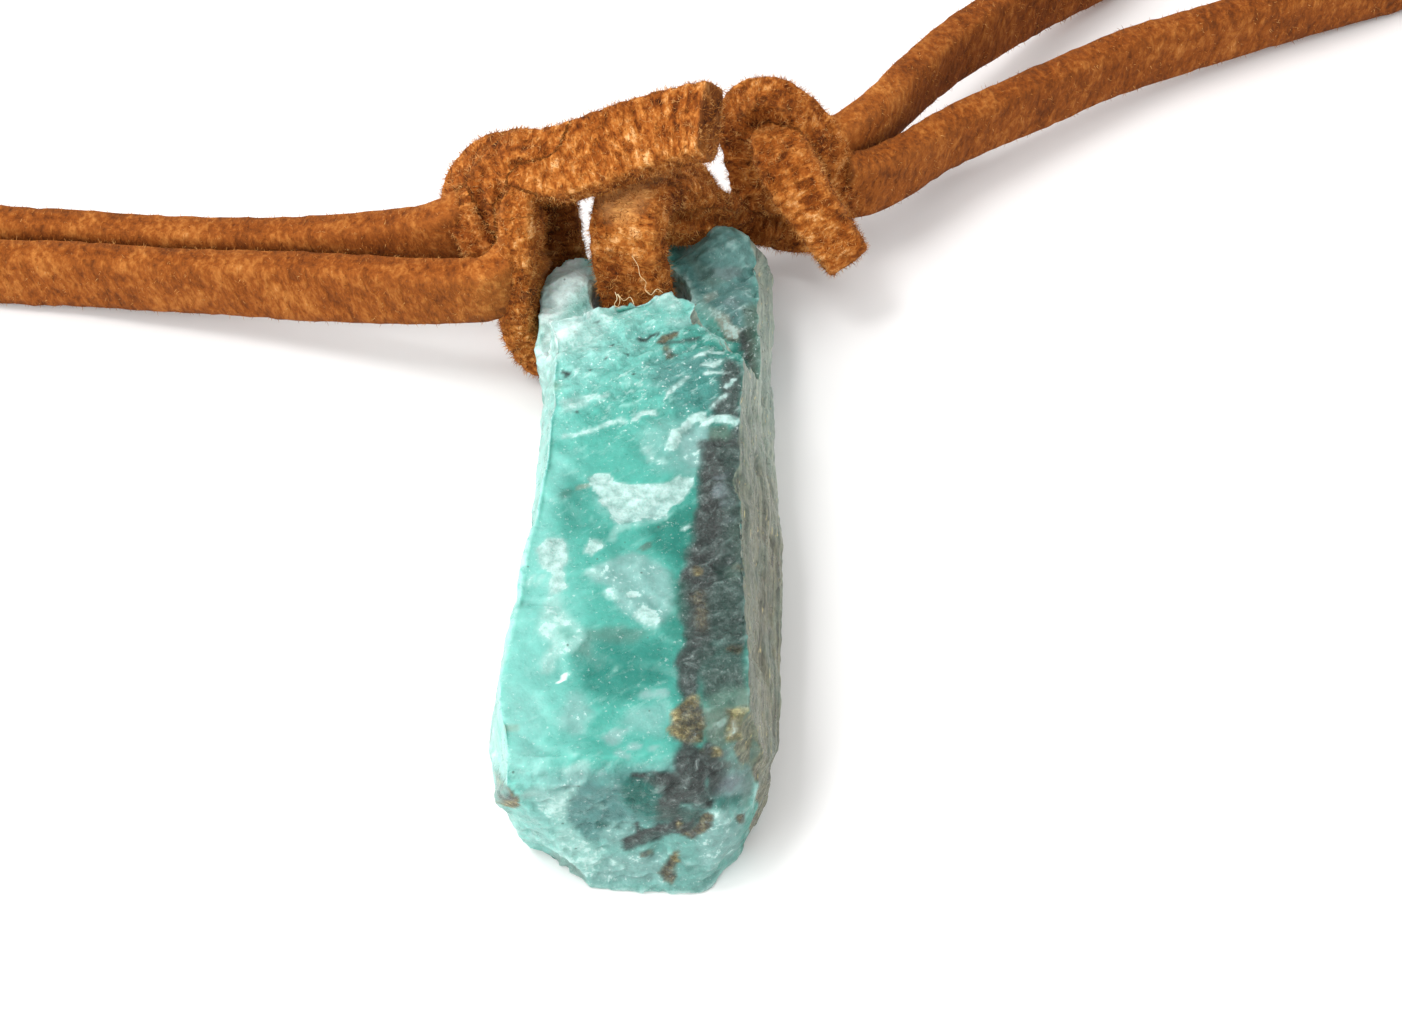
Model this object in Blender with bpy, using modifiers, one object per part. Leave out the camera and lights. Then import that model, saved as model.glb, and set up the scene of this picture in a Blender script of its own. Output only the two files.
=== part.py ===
# A raw emerald crystal with a drilled hole, tied on a flat suede lace.
# Lengths below are in millimetres and become metres through MM.
# The origin is on the stone's flat underside, +Z up and +Y towards the drilled end.
import math

import bmesh
import bpy
from mathutils import Matrix, Vector, noise

MM = 0.001

# Stone
STONE_HEIGHT = 6.8
STONE_BOX = (13.0, 36.0)        # blank that the crystal faces are cut from, X and Y
SINK = 0.6                      # depth of the blank below the rest plane
# Crystal faces, each a point and an outward direction
CRYSTAL_FACES = (
    ((3.60, -6.0, 6.80), (0.95, 0.013, 0.312)),      # right side, upper
    ((4.88, 0.0, 3.00), (0.97, 0.0, -0.24)),         # right side, lower
    ((4.25, 0.0, 0.40), (0.70, 0.0, -0.70)),         # right bottom edge
    ((-3.60, 0.0, 6.80), (-0.993, 0.02, 0.12)),      # left side, upper
    ((-4.00, 0.0, 3.50), (-0.985, 0.01, -0.17)),     # left side, lower
    ((-3.50, 0.0, 0.30), (-0.60, 0.0, -0.80)),       # left bottom edge
    ((0.0, 3.6, 6.80), (0.05, 0.11, 1.0)),           # shoulder towards the drilled end
    ((0.0, -13.40, 6.35), (0.0, -0.70, 0.70)),       # front edge of the wide end
    ((0.0, -13.92, 3.50), (0.0, -1.0, 0.08)),        # wide end
    ((-3.95, -12.3, 0.50), (-0.638, -0.77, -0.20)),  # wide end, left
    ((1.96, -14.27, 0.50), (0.669, -0.743, -0.10)),  # wide end, right
    ((4.67, -10.28, 0.50), (0.918, -0.397, -0.10)),  # wide end, right corner
    ((4.35, -11.2, 5.60), (0.62, -0.62, 0.48)),      # wide end, right upper corner
    ((-3.40, 12.5, 3.00), (-0.377, 0.926, 0.0)),     # drilled end, left part
    ((2.40, 15.0, 3.00), (0.69, 0.72, 0.0)),         # drilled end, right part
    ((-3.40, 12.5, 3.00), (-0.87, 0.49, 0.0)),       # drilled end, left corner
)
FLARE_START_Y = -1.8            # the left side widens from here
FLARE_END_Y = -7.4              # to here
FLARE = 0.31                    # by this share of the half width
# The slab broken off around the hole: plan of its jagged edge, left to right
BREAK_EDGE = (
    (-7.0, 5.2), (-4.0, 5.5), (-3.76, 5.97), (-3.3, 6.5), (-2.57, 6.8), (-1.83, 7.3),
    (-0.9, 7.7), (-0.1, 7.9), (0.44, 8.14), (0.9, 8.3), (1.58, 7.9), (1.96, 7.5),
    (2.42, 6.8), (2.8, 6.3), (3.3, 5.6), (7.0, 4.9),
)
BREAK_FLOOR = ((5.0, 4.55), (17.0, 3.45))     # height of the broken floor at two Y
LEDGE_EDGE = ((1.7, 7.4), (2.3, 6.4), (3.1, 5.5), (7.0, 3.9), (7.0, 7.2), (3.4, 8.4), (2.0, 8.6))
LEDGE_HEIGHT = 5.5              # a lower step of the slab on its right
# Lumps left standing on the broken floor: place, radius, height
HORN_LUMPS = (((-3.2, 10.9), 1.5, 0.55), ((2.9, 13.0), 1.7, 0.75), ((3.2, 9.6), 1.5, 0.45))
HOLE_CENTRE = (-0.30, 10.30)
HOLE_RADIUS = 1.95
RECESS_START_Y = 7.7            # the underside is broken away from here to the drilled end
RECESS_HEIGHT = 1.95
STONE_VOXEL = 0.36
STONE_TRIANGLES = 5200

# Lace
LACE_WIDTH = 3.0
LACE_THICKNESS = 1.4
KNOT_WIDTH = 2.3                # the lace bunches up inside a knot
GAP = 0.3
TIE_STEP = 0.7
TIE_VOXEL = 0.3
TIE_TRIANGLES = 2600
SUEDE = (0.36, 0.135, 0.035, 1.0)

# The tie: place, direction of the flat face, width. From the first free end over the
# left knot, down beside the stone, under it, up the hole, over the top and round the
# right knot to the second free end.
TIE_ROUTE = (
    ((2.75, 13.42, 10.72), (-0.14, -0.47, 0.87), 3.0),
    ((1.90, 13.25, 10.65), (-0.10, -0.50, 0.86), 3.0),
    ((0.82, 13.04, 10.54), (-0.04, -0.53, 0.85), 3.0),
    ((-0.70, 12.71, 10.23), (0.07, -0.61, 0.79), 3.0),
    ((-2.23, 12.42, 9.82), (0.07, -0.68, 0.73), 3.0),
    ((-3.57, 12.26, 9.39), (-0.03, -0.61, 0.79), 2.9),
    ((-4.55, 12.38, 9.04), (-0.25, -0.20, 0.95), 2.6),
    ((-5.51, 13.17, 8.77), (-0.27, 0.54, 0.79), KNOT_WIDTH),
    ((-6.47, 13.32, 8.17), (-0.75, 0.45, 0.49), KNOT_WIDTH),
    ((-7.11, 12.83, 7.35), (-0.99, 0.03, 0.12), KNOT_WIDTH),
    ((-7.06, 12.30, 6.44), (-0.80, -0.47, -0.37), KNOT_WIDTH),
    ((-6.39, 12.04, 5.58), (-0.29, -0.71, -0.64), KNOT_WIDTH),
    ((-5.41, 12.37, 5.11), (0.29, -0.69, -0.67), KNOT_WIDTH),
    ((-4.65, 13.19, 5.26), (0.98, -0.10, -0.18), KNOT_WIDTH),
    ((-4.72, 13.93, 5.96), (0.80, 0.47, 0.37), KNOT_WIDTH),
    ((-5.38, 13.70, 6.77), (-0.20, 0.71, 0.68), KNOT_WIDTH),
    ((-5.84, 12.66, 7.08), (-0.97, 0.03, 0.25), KNOT_WIDTH),
    ((-5.60, 11.72, 7.52), (-0.66, -0.70, 0.10), KNOT_WIDTH),
    ((-5.12, 11.10, 7.75), (-0.75, -0.60, 0.30), 2.3),
    ((-5.08, 10.85, 6.80), (-0.85, -0.45, 0.05), 2.3),
    ((-5.12, 10.65, 5.20), (-0.95, -0.25, 0.0), 2.4),
    ((-5.15, 10.55, 3.60), (-0.99, -0.10, 0.0), 2.5),
    ((-4.85, 10.48, 2.20), (-0.93, -0.05, -0.35), 2.6),
    ((-4.15, 10.42, 1.18), (-0.50, 0.0, -0.87), 2.7),
    ((-3.05, 10.35, 0.88), (0.0, 0.0, -1.0), 2.8),
    ((-1.85, 10.30, 0.92), (0.20, 0.0, -0.98), 2.8),
    ((-0.85, 10.28, 1.60), (0.80, -0.25, -0.55), 2.8),
    ((-0.40, 10.30, 2.70), (0.72, -0.70, 0.0), 2.7),
    ((-0.36, 10.28, 3.80), (0.20, -0.98, 0.10), 2.8),
    ((-0.46, 10.50, 4.90), (0.0, -0.95, 0.28), 3.0),
    ((-0.56, 10.86, 6.00), (0.0, -0.95, 0.32), 3.0),
    ((-0.62, 11.24, 7.20), (0.0, -0.93, 0.38), 3.0),
    ((-0.42, 11.66, 8.20), (-0.10, -0.75, 0.66), 3.0),
    ((0.45, 12.20, 8.60), (0.05, -0.25, 0.97), 3.0),
    ((1.50, 13.10, 8.10), (0.35, 0.15, 0.93), 2.9),
    ((2.30, 14.20, 6.90), (0.50, 0.40, 0.77), 2.8),
    ((2.85, 15.40, 5.40), (0.35, 0.75, 0.56), 2.7),
    ((3.40, 16.35, 3.70), (0.10, 0.97, 0.25), 2.6),
    ((4.20, 16.75, 2.40), (0.0, 0.90, -0.40), 2.5),
    ((5.20, 16.30, 1.75), (0.10, 0.30, -0.95), KNOT_WIDTH),
    ((6.45, 15.80, 1.90), (0.45, -0.60, -0.66), KNOT_WIDTH),
    ((7.38, 15.81, 2.78), (0.87, -0.37, -0.32), KNOT_WIDTH),
    ((7.67, 16.14, 3.97), (0.99, -0.09, -0.05), KNOT_WIDTH),
    ((7.36, 16.54, 5.17), (0.95, 0.20, 0.23), KNOT_WIDTH),
    ((6.74, 17.08, 6.09), (0.80, 0.42, 0.43), KNOT_WIDTH),
    ((5.94, 17.53, 6.77), (0.50, 0.54, 0.68), KNOT_WIDTH),
    ((4.82, 17.91, 7.23), (0.10, 0.64, 0.76), KNOT_WIDTH),
    ((3.79, 18.05, 6.91), (-0.60, 0.59, 0.54), KNOT_WIDTH),
    ((3.32, 17.70, 6.14), (-0.99, 0.09, 0.05), KNOT_WIDTH),
    ((3.28, 17.17, 5.21), (-0.99, -0.09, -0.12), KNOT_WIDTH),
    ((3.73, 16.73, 4.25), (-0.86, -0.35, -0.37), KNOT_WIDTH),
    ((4.59, 16.52, 3.40), (-0.41, -0.65, -0.64), KNOT_WIDTH),
    ((5.69, 16.86, 3.17), (0.53, -0.62, -0.58), KNOT_WIDTH),
    ((6.26, 17.70, 3.72), (0.99, 0.05, 0.09), KNOT_WIDTH),
    ((6.01, 18.61, 4.76), (0.70, 0.42, 0.57), KNOT_WIDTH),
    ((5.34, 18.54, 5.63), (-0.01, 0.38, 0.93), KNOT_WIDTH),
    ((5.15, 17.42, 6.18), (-0.12, 0.16, 0.98), 2.4),
    ((5.29, 16.03, 6.37), (-0.13, -0.34, 0.93), 2.4),
    ((5.79, 14.81, 6.05), (-0.17, -0.61, 0.77), 2.5),
    ((6.42, 14.00, 5.30), (-0.22, -0.68, 0.70), 2.5),
    ((7.19, 13.30, 4.37), (-0.31, -0.66, 0.68), 2.5),
    ((7.92, 12.72, 3.43), (-0.43, -0.63, 0.65), 2.4),
)

# Neck lace: two strands from the left knot, round the back and to the right knot.
# The length that would go round the neck is put away in one flat roll.
COIL_CENTRE = (4.0, 53.0)
TRACK = 1.7                     # from one turn to the next, centre to centre
OUTER_TURN_RADIUS = 19.3
TURNS_IN_LAYER = 1.25
LAYER_HEIGHT = 3.1
COIL_SEGMENTS = 48
STRAND_STEP = 3.6
ON_EDGE = LACE_WIDTH / 2 + 0.05  # height of the middle of the lace where it stands on edge
LEFT_FRONT = (
    (-6.5, 9.60, 5.1), (-8.94, 10.15, 4.6), (-11.36, 10.79, 4.0), (-13.82, 11.48, 3.4),
    (-16.91, 12.18, 2.8), (-20.03, 12.84, 2.3), (-23.16, 13.47, 1.9), (-26.3, 13.87, 1.6),
    (-29.6, 14.5, ON_EDGE), (-32.4, 16.4, ON_EDGE), (-34.1, 19.6, ON_EDGE),
    (-34.4, 23.5, ON_EDGE), (-33.1, 27.5, ON_EDGE), (-30.4, 31.7, ON_EDGE),
    (-26.7, 36.2, ON_EDGE), (-22.7, 41.2, ON_EDGE), (-19.2, 46.4, ON_EDGE),
)
LEFT_BACK = (
    (-8.8, 12.15, 5.3), (-11.46, 12.68, 4.4), (-13.94, 13.25, 3.6), (-17.05, 13.88, 2.9),
    (-20.20, 14.55, 2.3), (-23.36, 15.20, 1.9), (-26.3, 15.70, 1.6), (-29.0, 16.4, ON_EDGE),
    (-31.0, 17.9, ON_EDGE), (-32.3, 20.5, ON_EDGE), (-32.5, 23.5, ON_EDGE),
    (-31.4, 26.8, ON_EDGE), (-28.9, 30.7, ON_EDGE), (-25.3, 35.0, ON_EDGE),
    (-21.4, 40.0, ON_EDGE), (-18.2, 44.6, ON_EDGE),
)
RIGHT_UPPER = (
    (9.0, 19.4, 4.5), (10.5, 21.7, 4.1), (12.36, 24.3, 3.6), (14.8, 27.0, 3.0),
    (16.8, 29.0, 2.5), (19.2, 31.1, 2.0), (21.8, 33.6, ON_EDGE), (23.6, 36.5, ON_EDGE),
    (24.2, 39.6, ON_EDGE), (23.7, 42.6, ON_EDGE),
)
RIGHT_LOWER = (
    (10.3, 18.2, 3.3), (11.9, 19.7, 3.1), (13.6, 20.9, 3.0), (16.4, 22.8, 2.7),
    (19.7, 25.0, 2.4), (23.0, 26.7, 2.1), (26.4, 28.3, 1.9), (29.8, 29.8, 1.7),
    (33.0, 31.4, ON_EDGE), (35.9, 33.8, ON_EDGE), (37.2, 37.2, ON_EDGE),
    (36.6, 40.9, ON_EDGE), (34.2, 44.3, 1.65), (30.9, 48.1, 2.3), (27.3, 52.0, 3.2),
    (25.9, 53.9, 3.7),
)


def clear_scene():
    for obj in list(bpy.data.objects):
        bpy.data.objects.remove(obj, do_unlink=True)


def new_collection(name):
    collection = bpy.data.collections.new(name)
    bpy.context.scene.collection.children.link(collection)
    return collection


def material(name, colour, roughness, subsurface=0.0):
    mat = bpy.data.materials.new(name)
    mat.use_nodes = True
    shader = mat.node_tree.nodes["Principled BSDF"]
    shader.inputs["Base Color"].default_value = colour
    shader.inputs["Roughness"].default_value = roughness
    shader.inputs["Metallic"].default_value = 0.0
    shader.inputs["Subsurface Weight"].default_value = subsurface
    shader.inputs["Subsurface Scale"].default_value = 2.0 * MM
    mat.diffuse_color = colour
    return mat


def mesh_object(bm, name, collection):
    mesh = bpy.data.meshes.new(name)
    bm.to_mesh(mesh)
    bm.free()
    obj = bpy.data.objects.new(name, mesh)
    collection.objects.link(obj)
    return obj


def as_cutter(obj):
    obj.hide_render = True
    obj.display_type = 'WIRE'
    return obj


def boolean(obj, cutter, operation='DIFFERENCE'):
    modifier = obj.modifiers.new(cutter.name, 'BOOLEAN')
    modifier.operation = operation
    modifier.solver = 'EXACT'
    modifier.object = cutter


def remesh(obj, voxel):
    modifier = obj.modifiers.new("remesh", 'REMESH')
    modifier.mode = 'VOXEL'
    modifier.voxel_size = voxel * MM


def decimate(obj, triangles):
    obj.data.calc_loop_triangles()
    modifier = obj.modifiers.new("decimate", 'DECIMATE')
    modifier.decimate_type = 'COLLAPSE'
    modifier.ratio = triangles / len(obj.data.loop_triangles)


def apply_modifiers(obj):
    depsgraph = bpy.context.evaluated_depsgraph_get()
    mesh = bpy.data.meshes.new_from_object(obj.evaluated_get(depsgraph))
    obj.modifiers.clear()
    old = obj.data
    obj.data = mesh
    bpy.data.meshes.remove(old)


def smoothstep(value, low, high):
    t = min(max((value - low) / (high - low), 0.0), 1.0)
    return t * t * (3.0 - 2.0 * t)


def prism(name, outline, floor, ceiling, collection):
    # An upright prism over a plan outline; its floor may slope along Y
    (y0, z0), (y1, z1) = floor
    bm = bmesh.new()
    base = [bm.verts.new((x * MM, y * MM, (z0 + (z1 - z0) * (y - y0) / (y1 - y0)) * MM))
            for x, y in outline]
    face = bm.faces.new(base)
    top = bmesh.ops.extrude_face_region(bm, geom=[face])["geom"]
    for vert in (v for v in top if isinstance(v, bmesh.types.BMVert)):
        vert.co.z = ceiling * MM
    bmesh.ops.recalc_face_normals(bm, faces=bm.faces)
    return as_cutter(mesh_object(bm, name, collection))


def crystal_blank(collection):
    # A box cut by the crystal faces, with the left side flared towards the wide end
    bm = bmesh.new()
    height = STONE_HEIGHT + SINK
    bmesh.ops.create_cube(bm, size=1.0)
    bmesh.ops.scale(bm, vec=(STONE_BOX[0] * MM, STONE_BOX[1] * MM, height * MM), verts=bm.verts)
    bmesh.ops.translate(bm, vec=(0, 0, (height / 2 - SINK) * MM), verts=bm.verts)
    for point, direction in CRYSTAL_FACES:
        geom = bm.verts[:] + bm.edges[:] + bm.faces[:]
        cut = bmesh.ops.bisect_plane(bm, geom=geom, dist=1e-7, plane_co=Vector(point) * MM,
                                     plane_no=Vector(direction).normalized(), clear_outer=True)
        edges = [e for e in cut["geom_cut"] if isinstance(e, bmesh.types.BMEdge)]
        bmesh.ops.edgeloop_fill(bm, edges=edges)
    bmesh.ops.recalc_face_normals(bm, faces=bm.faces)
    return mesh_object(bm, "emerald", collection)


def flare_left(point):
    share = 1.0 - smoothstep(point.y / MM, FLARE_END_Y, FLARE_START_Y)
    if point.x < 0.0:
        point.x *= 1.0 + FLARE * share


def terrace(value, steps):
    # Flat treads and short risers, as cleavage leaves them
    scaled = value * steps
    tread = math.floor(scaled)
    return (tread + smoothstep(scaled - tread, 0.72, 1.0)) / steps


def stone_relief(point, normal):
    # Height of the raw surface above the ideal crystal face, in millimetres
    p = point / MM
    relief = 0.22 * noise.fractal(p * 0.22 + Vector((3.1, 0.0, 7.7)), 1.0, 2.1, 3)
    # Cleavage steps across the front and back faces
    tilt = 0.42 * p.y + 0.20 * p.x + 1.6 * noise.noise(p * 0.32)
    relief += 0.17 * abs(normal.z) * (terrace(tilt, 1.0) - tilt)
    # Shallow chips
    chips = noise.noise(p * 0.70 + Vector((9.0, 2.0, 4.0)))
    relief -= 0.40 * max(chips - 0.15, 0.0)
    # Lengthwise ribs on the side faces
    ribs = noise.noise(Vector((p.x * 0.5, p.y * 0.06, p.z * 1.1 + 5.0)))
    return relief + 0.22 * abs(normal.x) * ribs


def lump_height(point):
    height = 0.0
    for (x, y), radius, rise in HORN_LUMPS:
        distance = math.hypot(point.x / MM - x, point.y / MM - y)
        height += rise * (1.0 - smoothstep(distance, 0.2 * radius, radius))
    return height


def make_stone(parts, cutters):
    stone = crystal_blank(parts)
    outline = BREAK_EDGE + ((7.0, 18.0), (-7.0, 18.0))
    boolean(stone, prism("broken_slab", outline, BREAK_FLOOR, 9.0, cutters))
    ledge = ((0.0, LEDGE_HEIGHT), (1.0, LEDGE_HEIGHT))
    boolean(stone, prism("slab_ledge", LEDGE_EDGE, ledge, 9.0, cutters))
    recess = ((-7.0, RECESS_START_Y), (7.0, RECESS_START_Y + 0.5), (7.0, 18.0), (-7.0, 18.0))
    low = ((0.0, -2.0), (1.0, -2.0))
    boolean(stone, prism("underside_recess", recess, low, RECESS_HEIGHT, cutters))
    apply_modifiers(stone)
    remesh(stone, STONE_VOXEL)
    apply_modifiers(stone)

    mesh = stone.data
    normals = [v.normal.copy() for v in mesh.vertices]
    for vert, normal in zip(mesh.vertices, normals):
        point = vert.co.copy()
        flare_left(point)
        point += normal * (stone_relief(point, normal) * MM)
        if normal.z > 0.5 and point.y > 8.0 * MM:
            point.z += lump_height(point) * MM
        vert.co = point

    decimate(stone, STONE_TRIANGLES)
    apply_modifiers(stone)
    bm = bmesh.new()
    bmesh.ops.create_cone(bm, cap_ends=True, segments=20, radius1=HOLE_RADIUS * MM,
                          radius2=HOLE_RADIUS * MM, depth=20.0 * MM)
    bmesh.ops.translate(bm, vec=(HOLE_CENTRE[0] * MM, HOLE_CENTRE[1] * MM, 0), verts=bm.verts)
    boolean(stone, as_cutter(mesh_object(bm, "drilled_hole", cutters)))
    bm = bmesh.new()
    bmesh.ops.create_cube(bm, size=60.0 * MM)
    bmesh.ops.translate(bm, vec=(0, 0, -30.0 * MM), verts=bm.verts)
    boolean(stone, as_cutter(mesh_object(bm, "rest_plane", cutters)))
    apply_modifiers(stone)
    stone.data.materials.append(material("emerald", (0.13, 0.50, 0.41, 1.0), 0.35, 0.3))
    return stone


def spline(points, amount):
    # Catmull-Rom through the given vectors, at a running index
    last = len(points) - 1
    i = min(int(amount), last - 1)
    t = amount - i
    a = points[max(i - 1, 0)]
    b = points[i]
    c = points[i + 1]
    d = points[min(i + 2, last)]
    return 0.5 * ((2.0 * b) + (c - a) * t + (2.0 * a - 5.0 * b + 4.0 * c - d) * t * t
                  + (3.0 * b - a - 3.0 * c + d) * t * t * t)


def even_amounts(points, step):
    # Running indices that lie an equal distance apart along the curve
    fine = [i / 40.0 for i in range((len(points) - 1) * 40 + 1)]
    places = [spline(points, f) for f in fine]
    run = [0.0]
    for one, two in zip(places, places[1:]):
        run.append(run[-1] + (two - one).length)
    count = max(2, round(run[-1] / step))
    amounts = []
    k = 0
    for n in range(count + 1):
        target = run[-1] * n / count
        while k < len(run) - 2 and run[k + 1] < target:
            k += 1
        amounts.append(fine[k] + (fine[k + 1] - fine[k]) * (target - run[k]) / (run[k + 1] - run[k]))
    return amounts


def lace_section(width, thickness):
    # Eight corners of a flat lace with eased edges
    w, t = width / 2, thickness / 2
    ease = 0.42 * t
    return [(w, t - ease), (w - ease, t), (ease - w, t), (-w, t - ease),
            (-w, ease - t), (ease - w, -t), (w - ease, -t), (w, ease - t)]


def make_tie(parts):
    places = [Vector(p) for p, n, w in TIE_ROUTE]
    faces = [Vector(n).normalized() for p, n, w in TIE_ROUTE]
    widths = [Vector((w, 0.0, 0.0)) for p, n, w in TIE_ROUTE]
    amounts = even_amounts(places, TIE_STEP)
    path = [spline(places, a) for a in amounts]
    bm = bmesh.new()
    corners = len(lace_section(1.0, 1.0))
    ring = bmesh.ops.create_circle(bm, cap_ends=False, radius=MM, segments=corners)["verts"]
    first = list(ring)
    for k, amount in enumerate(amounts):
        along = (path[min(k + 1, len(path) - 1)] - path[max(k - 1, 0)]).normalized()
        flat = spline(faces, amount)
        flat = (flat - along * flat.dot(along)).normalized()
        across = along.cross(flat)
        if k:
            edges = [bm.edges.get((ring[i], ring[(i + 1) % corners])) for i in range(corners)]
            grown = bmesh.ops.extrude_edge_only(bm, edges=edges)["geom"]
            fresh = {v for v in grown if isinstance(v, bmesh.types.BMVert)}
            ring = [next(e.other_vert(v) for e in v.link_edges if e.other_vert(v) in fresh)
                    for v in ring]
        section = lace_section(spline(widths, amount).x, LACE_THICKNESS)
        for vert, (u, v) in zip(ring, section):
            vert.co = (path[k] + across * u + flat * v) * MM
    bm.faces.new(first)
    bm.faces.new(ring)
    bmesh.ops.recalc_face_normals(bm, faces=bm.faces)
    tie = mesh_object(bm, "tie_lace", parts)
    remesh(tie, TIE_VOXEL)
    apply_modifiers(tie)
    decimate(tie, TIE_TRIANGLES)
    apply_modifiers(tie)
    tie.data.materials.append(material("tie_lace", SUEDE, 0.95))
    return tie


def make_strand(name, route, parts):
    # A flat lace standing on edge: a curve raised by its extrude and rounded by its bevel
    places = [Vector(p) for p in route]
    path = [spline(places, a) for a in even_amounts(places, STRAND_STEP)]
    curve = bpy.data.curves.new(name, 'CURVE')
    curve.dimensions = '3D'
    curve.twist_mode = 'Z_UP'
    curve.bevel_depth = LACE_THICKNESS / 2 * MM
    curve.bevel_resolution = 2
    curve.extrude = (LACE_WIDTH - LACE_THICKNESS) / 2 * MM
    curve.use_fill_caps = True
    line = curve.splines.new('POLY')
    line.points.add(len(path) - 1)
    for point, place in zip(line.points, path):
        point.co = (*(place * MM), 1.0)
    strand = bpy.data.objects.new(name, curve)
    parts.objects.link(strand)
    curve.materials.append(material(name, SUEDE, 0.95))
    return strand


def make_coil(parts):
    # The roll of spare lace, two layers of turns, as one turned ring
    outer = OUTER_TURN_RADIUS + LACE_THICKNESS / 2
    inner = OUTER_TURN_RADIUS - TRACK * (2 * TURNS_IN_LAYER + 1) - LACE_THICKNESS / 2
    height = LAYER_HEIGHT + LACE_WIDTH
    bm = bmesh.new()
    corners = [(outer, 0.0), (outer, height), (inner, height), (inner, 0.0)]
    verts = [bm.verts.new((x * MM, 0.0, z * MM)) for x, z in corners]
    edges = [bm.edges.new((verts[i], verts[(i + 1) % 4])) for i in range(4)]
    bmesh.ops.spin(bm, geom=verts + edges, cent=(0, 0, 0), axis=(0, 0, 1),
                   angle=2 * math.pi, steps=COIL_SEGMENTS, use_merge=True)
    bmesh.ops.recalc_face_normals(bm, faces=bm.faces)
    coil = mesh_object(bm, "lace_coil", parts)
    coil.data.transform(Matrix.Translation((COIL_CENTRE[0] * MM, COIL_CENTRE[1] * MM, 0.0)))
    coil.data.materials.append(material("lace_coil", SUEDE, 0.95))
    return coil


def main():
    clear_scene()
    parts = new_collection("raw_emerald")
    cutters = new_collection("cutters")
    make_stone(parts, cutters)
    make_tie(parts)
    make_strand("neck_lace_left_front", LEFT_FRONT, parts)
    make_strand("neck_lace_left_back", LEFT_BACK, parts)
    make_strand("neck_lace_right_upper", RIGHT_UPPER, parts)
    make_strand("neck_lace_right_lower", RIGHT_LOWER, parts)
    make_coil(parts)


main()
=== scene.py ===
import math

import bmesh
import bpy
import numpy as np
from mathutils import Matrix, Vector, kdtree, noise


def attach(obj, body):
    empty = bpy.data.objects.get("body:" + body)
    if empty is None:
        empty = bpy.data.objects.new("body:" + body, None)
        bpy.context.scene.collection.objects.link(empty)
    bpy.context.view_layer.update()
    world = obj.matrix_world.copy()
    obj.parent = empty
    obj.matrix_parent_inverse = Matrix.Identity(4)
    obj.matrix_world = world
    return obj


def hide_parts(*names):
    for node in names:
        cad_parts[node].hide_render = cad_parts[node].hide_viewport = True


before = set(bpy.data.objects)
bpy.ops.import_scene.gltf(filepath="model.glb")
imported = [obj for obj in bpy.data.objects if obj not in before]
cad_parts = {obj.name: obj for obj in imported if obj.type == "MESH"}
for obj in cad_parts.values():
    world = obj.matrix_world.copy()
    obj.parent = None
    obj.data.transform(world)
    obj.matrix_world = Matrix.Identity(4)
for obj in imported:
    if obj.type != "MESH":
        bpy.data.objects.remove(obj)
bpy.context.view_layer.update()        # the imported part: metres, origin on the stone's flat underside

mm = 0.001               # lengths below are in millimetres
scene = bpy.context.scene


# Small helpers

def tint(code):
    # A screen colour such as "#2fa58c" as the linear values that the shader wants
    parts = [int(code[i:i + 2], 16) / 255 for i in (1, 3, 5)]
    return [p / 12.92 if p <= 0.04045 else ((p + 0.055) / 1.055) ** 2.4 for p in parts] + [1.0]


def smooth(value, low, high):
    t = min(max((value - low) / (high - low), 0.0), 1.0)
    return t * t * (3.0 - 2.0 * t)


def smoothAll(values, low, high):
    t = np.clip((values - low) / (high - low), 0.0, 1.0)
    return t * t * (3.0 - 2.0 * t)


def addObject(bm, name):
    mesh = bpy.data.meshes.new(name)
    bm.to_mesh(mesh)
    bm.free()
    obj = bpy.data.objects.new(name, mesh)
    scene.collection.objects.link(obj)
    return obj


def applyModifiers(obj):
    depsgraph = bpy.context.evaluated_depsgraph_get()
    mesh = bpy.data.meshes.new_from_object(obj.evaluated_get(depsgraph))
    obj.modifiers.clear()
    old = obj.data
    obj.data = mesh
    bpy.data.meshes.remove(old)


def voxelRemesh(obj, size):
    modifier = obj.modifiers.new("remesh", "REMESH")
    modifier.mode = "VOXEL"
    modifier.voxel_size = size * mm
    applyModifiers(obj)


def readPoints(mesh):
    # Places in millimetres and normals, one row a vertex
    count = len(mesh.vertices)
    places = np.empty(count * 3)
    mesh.vertices.foreach_get("co", places)
    normals = np.empty(count * 3, dtype=np.float32)
    mesh.vertex_normals.foreach_get("vector", normals)
    return places.reshape(-1, 3) / mm, normals.reshape(-1, 3).astype(float)


def writePoints(mesh, places):
    mesh.vertices.foreach_set("co", (places * mm).ravel())
    mesh.update()


def addField(mesh, name, values):
    # One number a vertex, for a material's Attribute node
    field = mesh.attributes.new(name, "FLOAT", "POINT")
    field.data.foreach_set("value", np.clip(values, 0.0, 1.0).astype(np.float32))


def noiseAt(places, scale, shift=(0.0, 0.0, 0.0)):
    scaled = places * np.array(scale) + np.array(shift)
    return np.array([noise.noise(Vector(p)) for p in scaled])


def neighbourSums(mesh, values):
    # A function that sums rows over the vertices that edges join each one to, and their number
    ends = np.empty(len(mesh.edges) * 2, dtype=np.int32)
    mesh.edges.foreach_get("vertices", ends)
    a, b = ends.reshape(-1, 2).T
    count = len(values)
    number = np.bincount(a, minlength=count) + np.bincount(b, minlength=count)

    def gather(rows):
        return np.stack([np.bincount(a, weights=rows[b, k], minlength=count)
                         + np.bincount(b, weights=rows[a, k], minlength=count)
                         for k in range(rows.shape[1])], axis=1)
    return gather, number[:, None]


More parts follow.
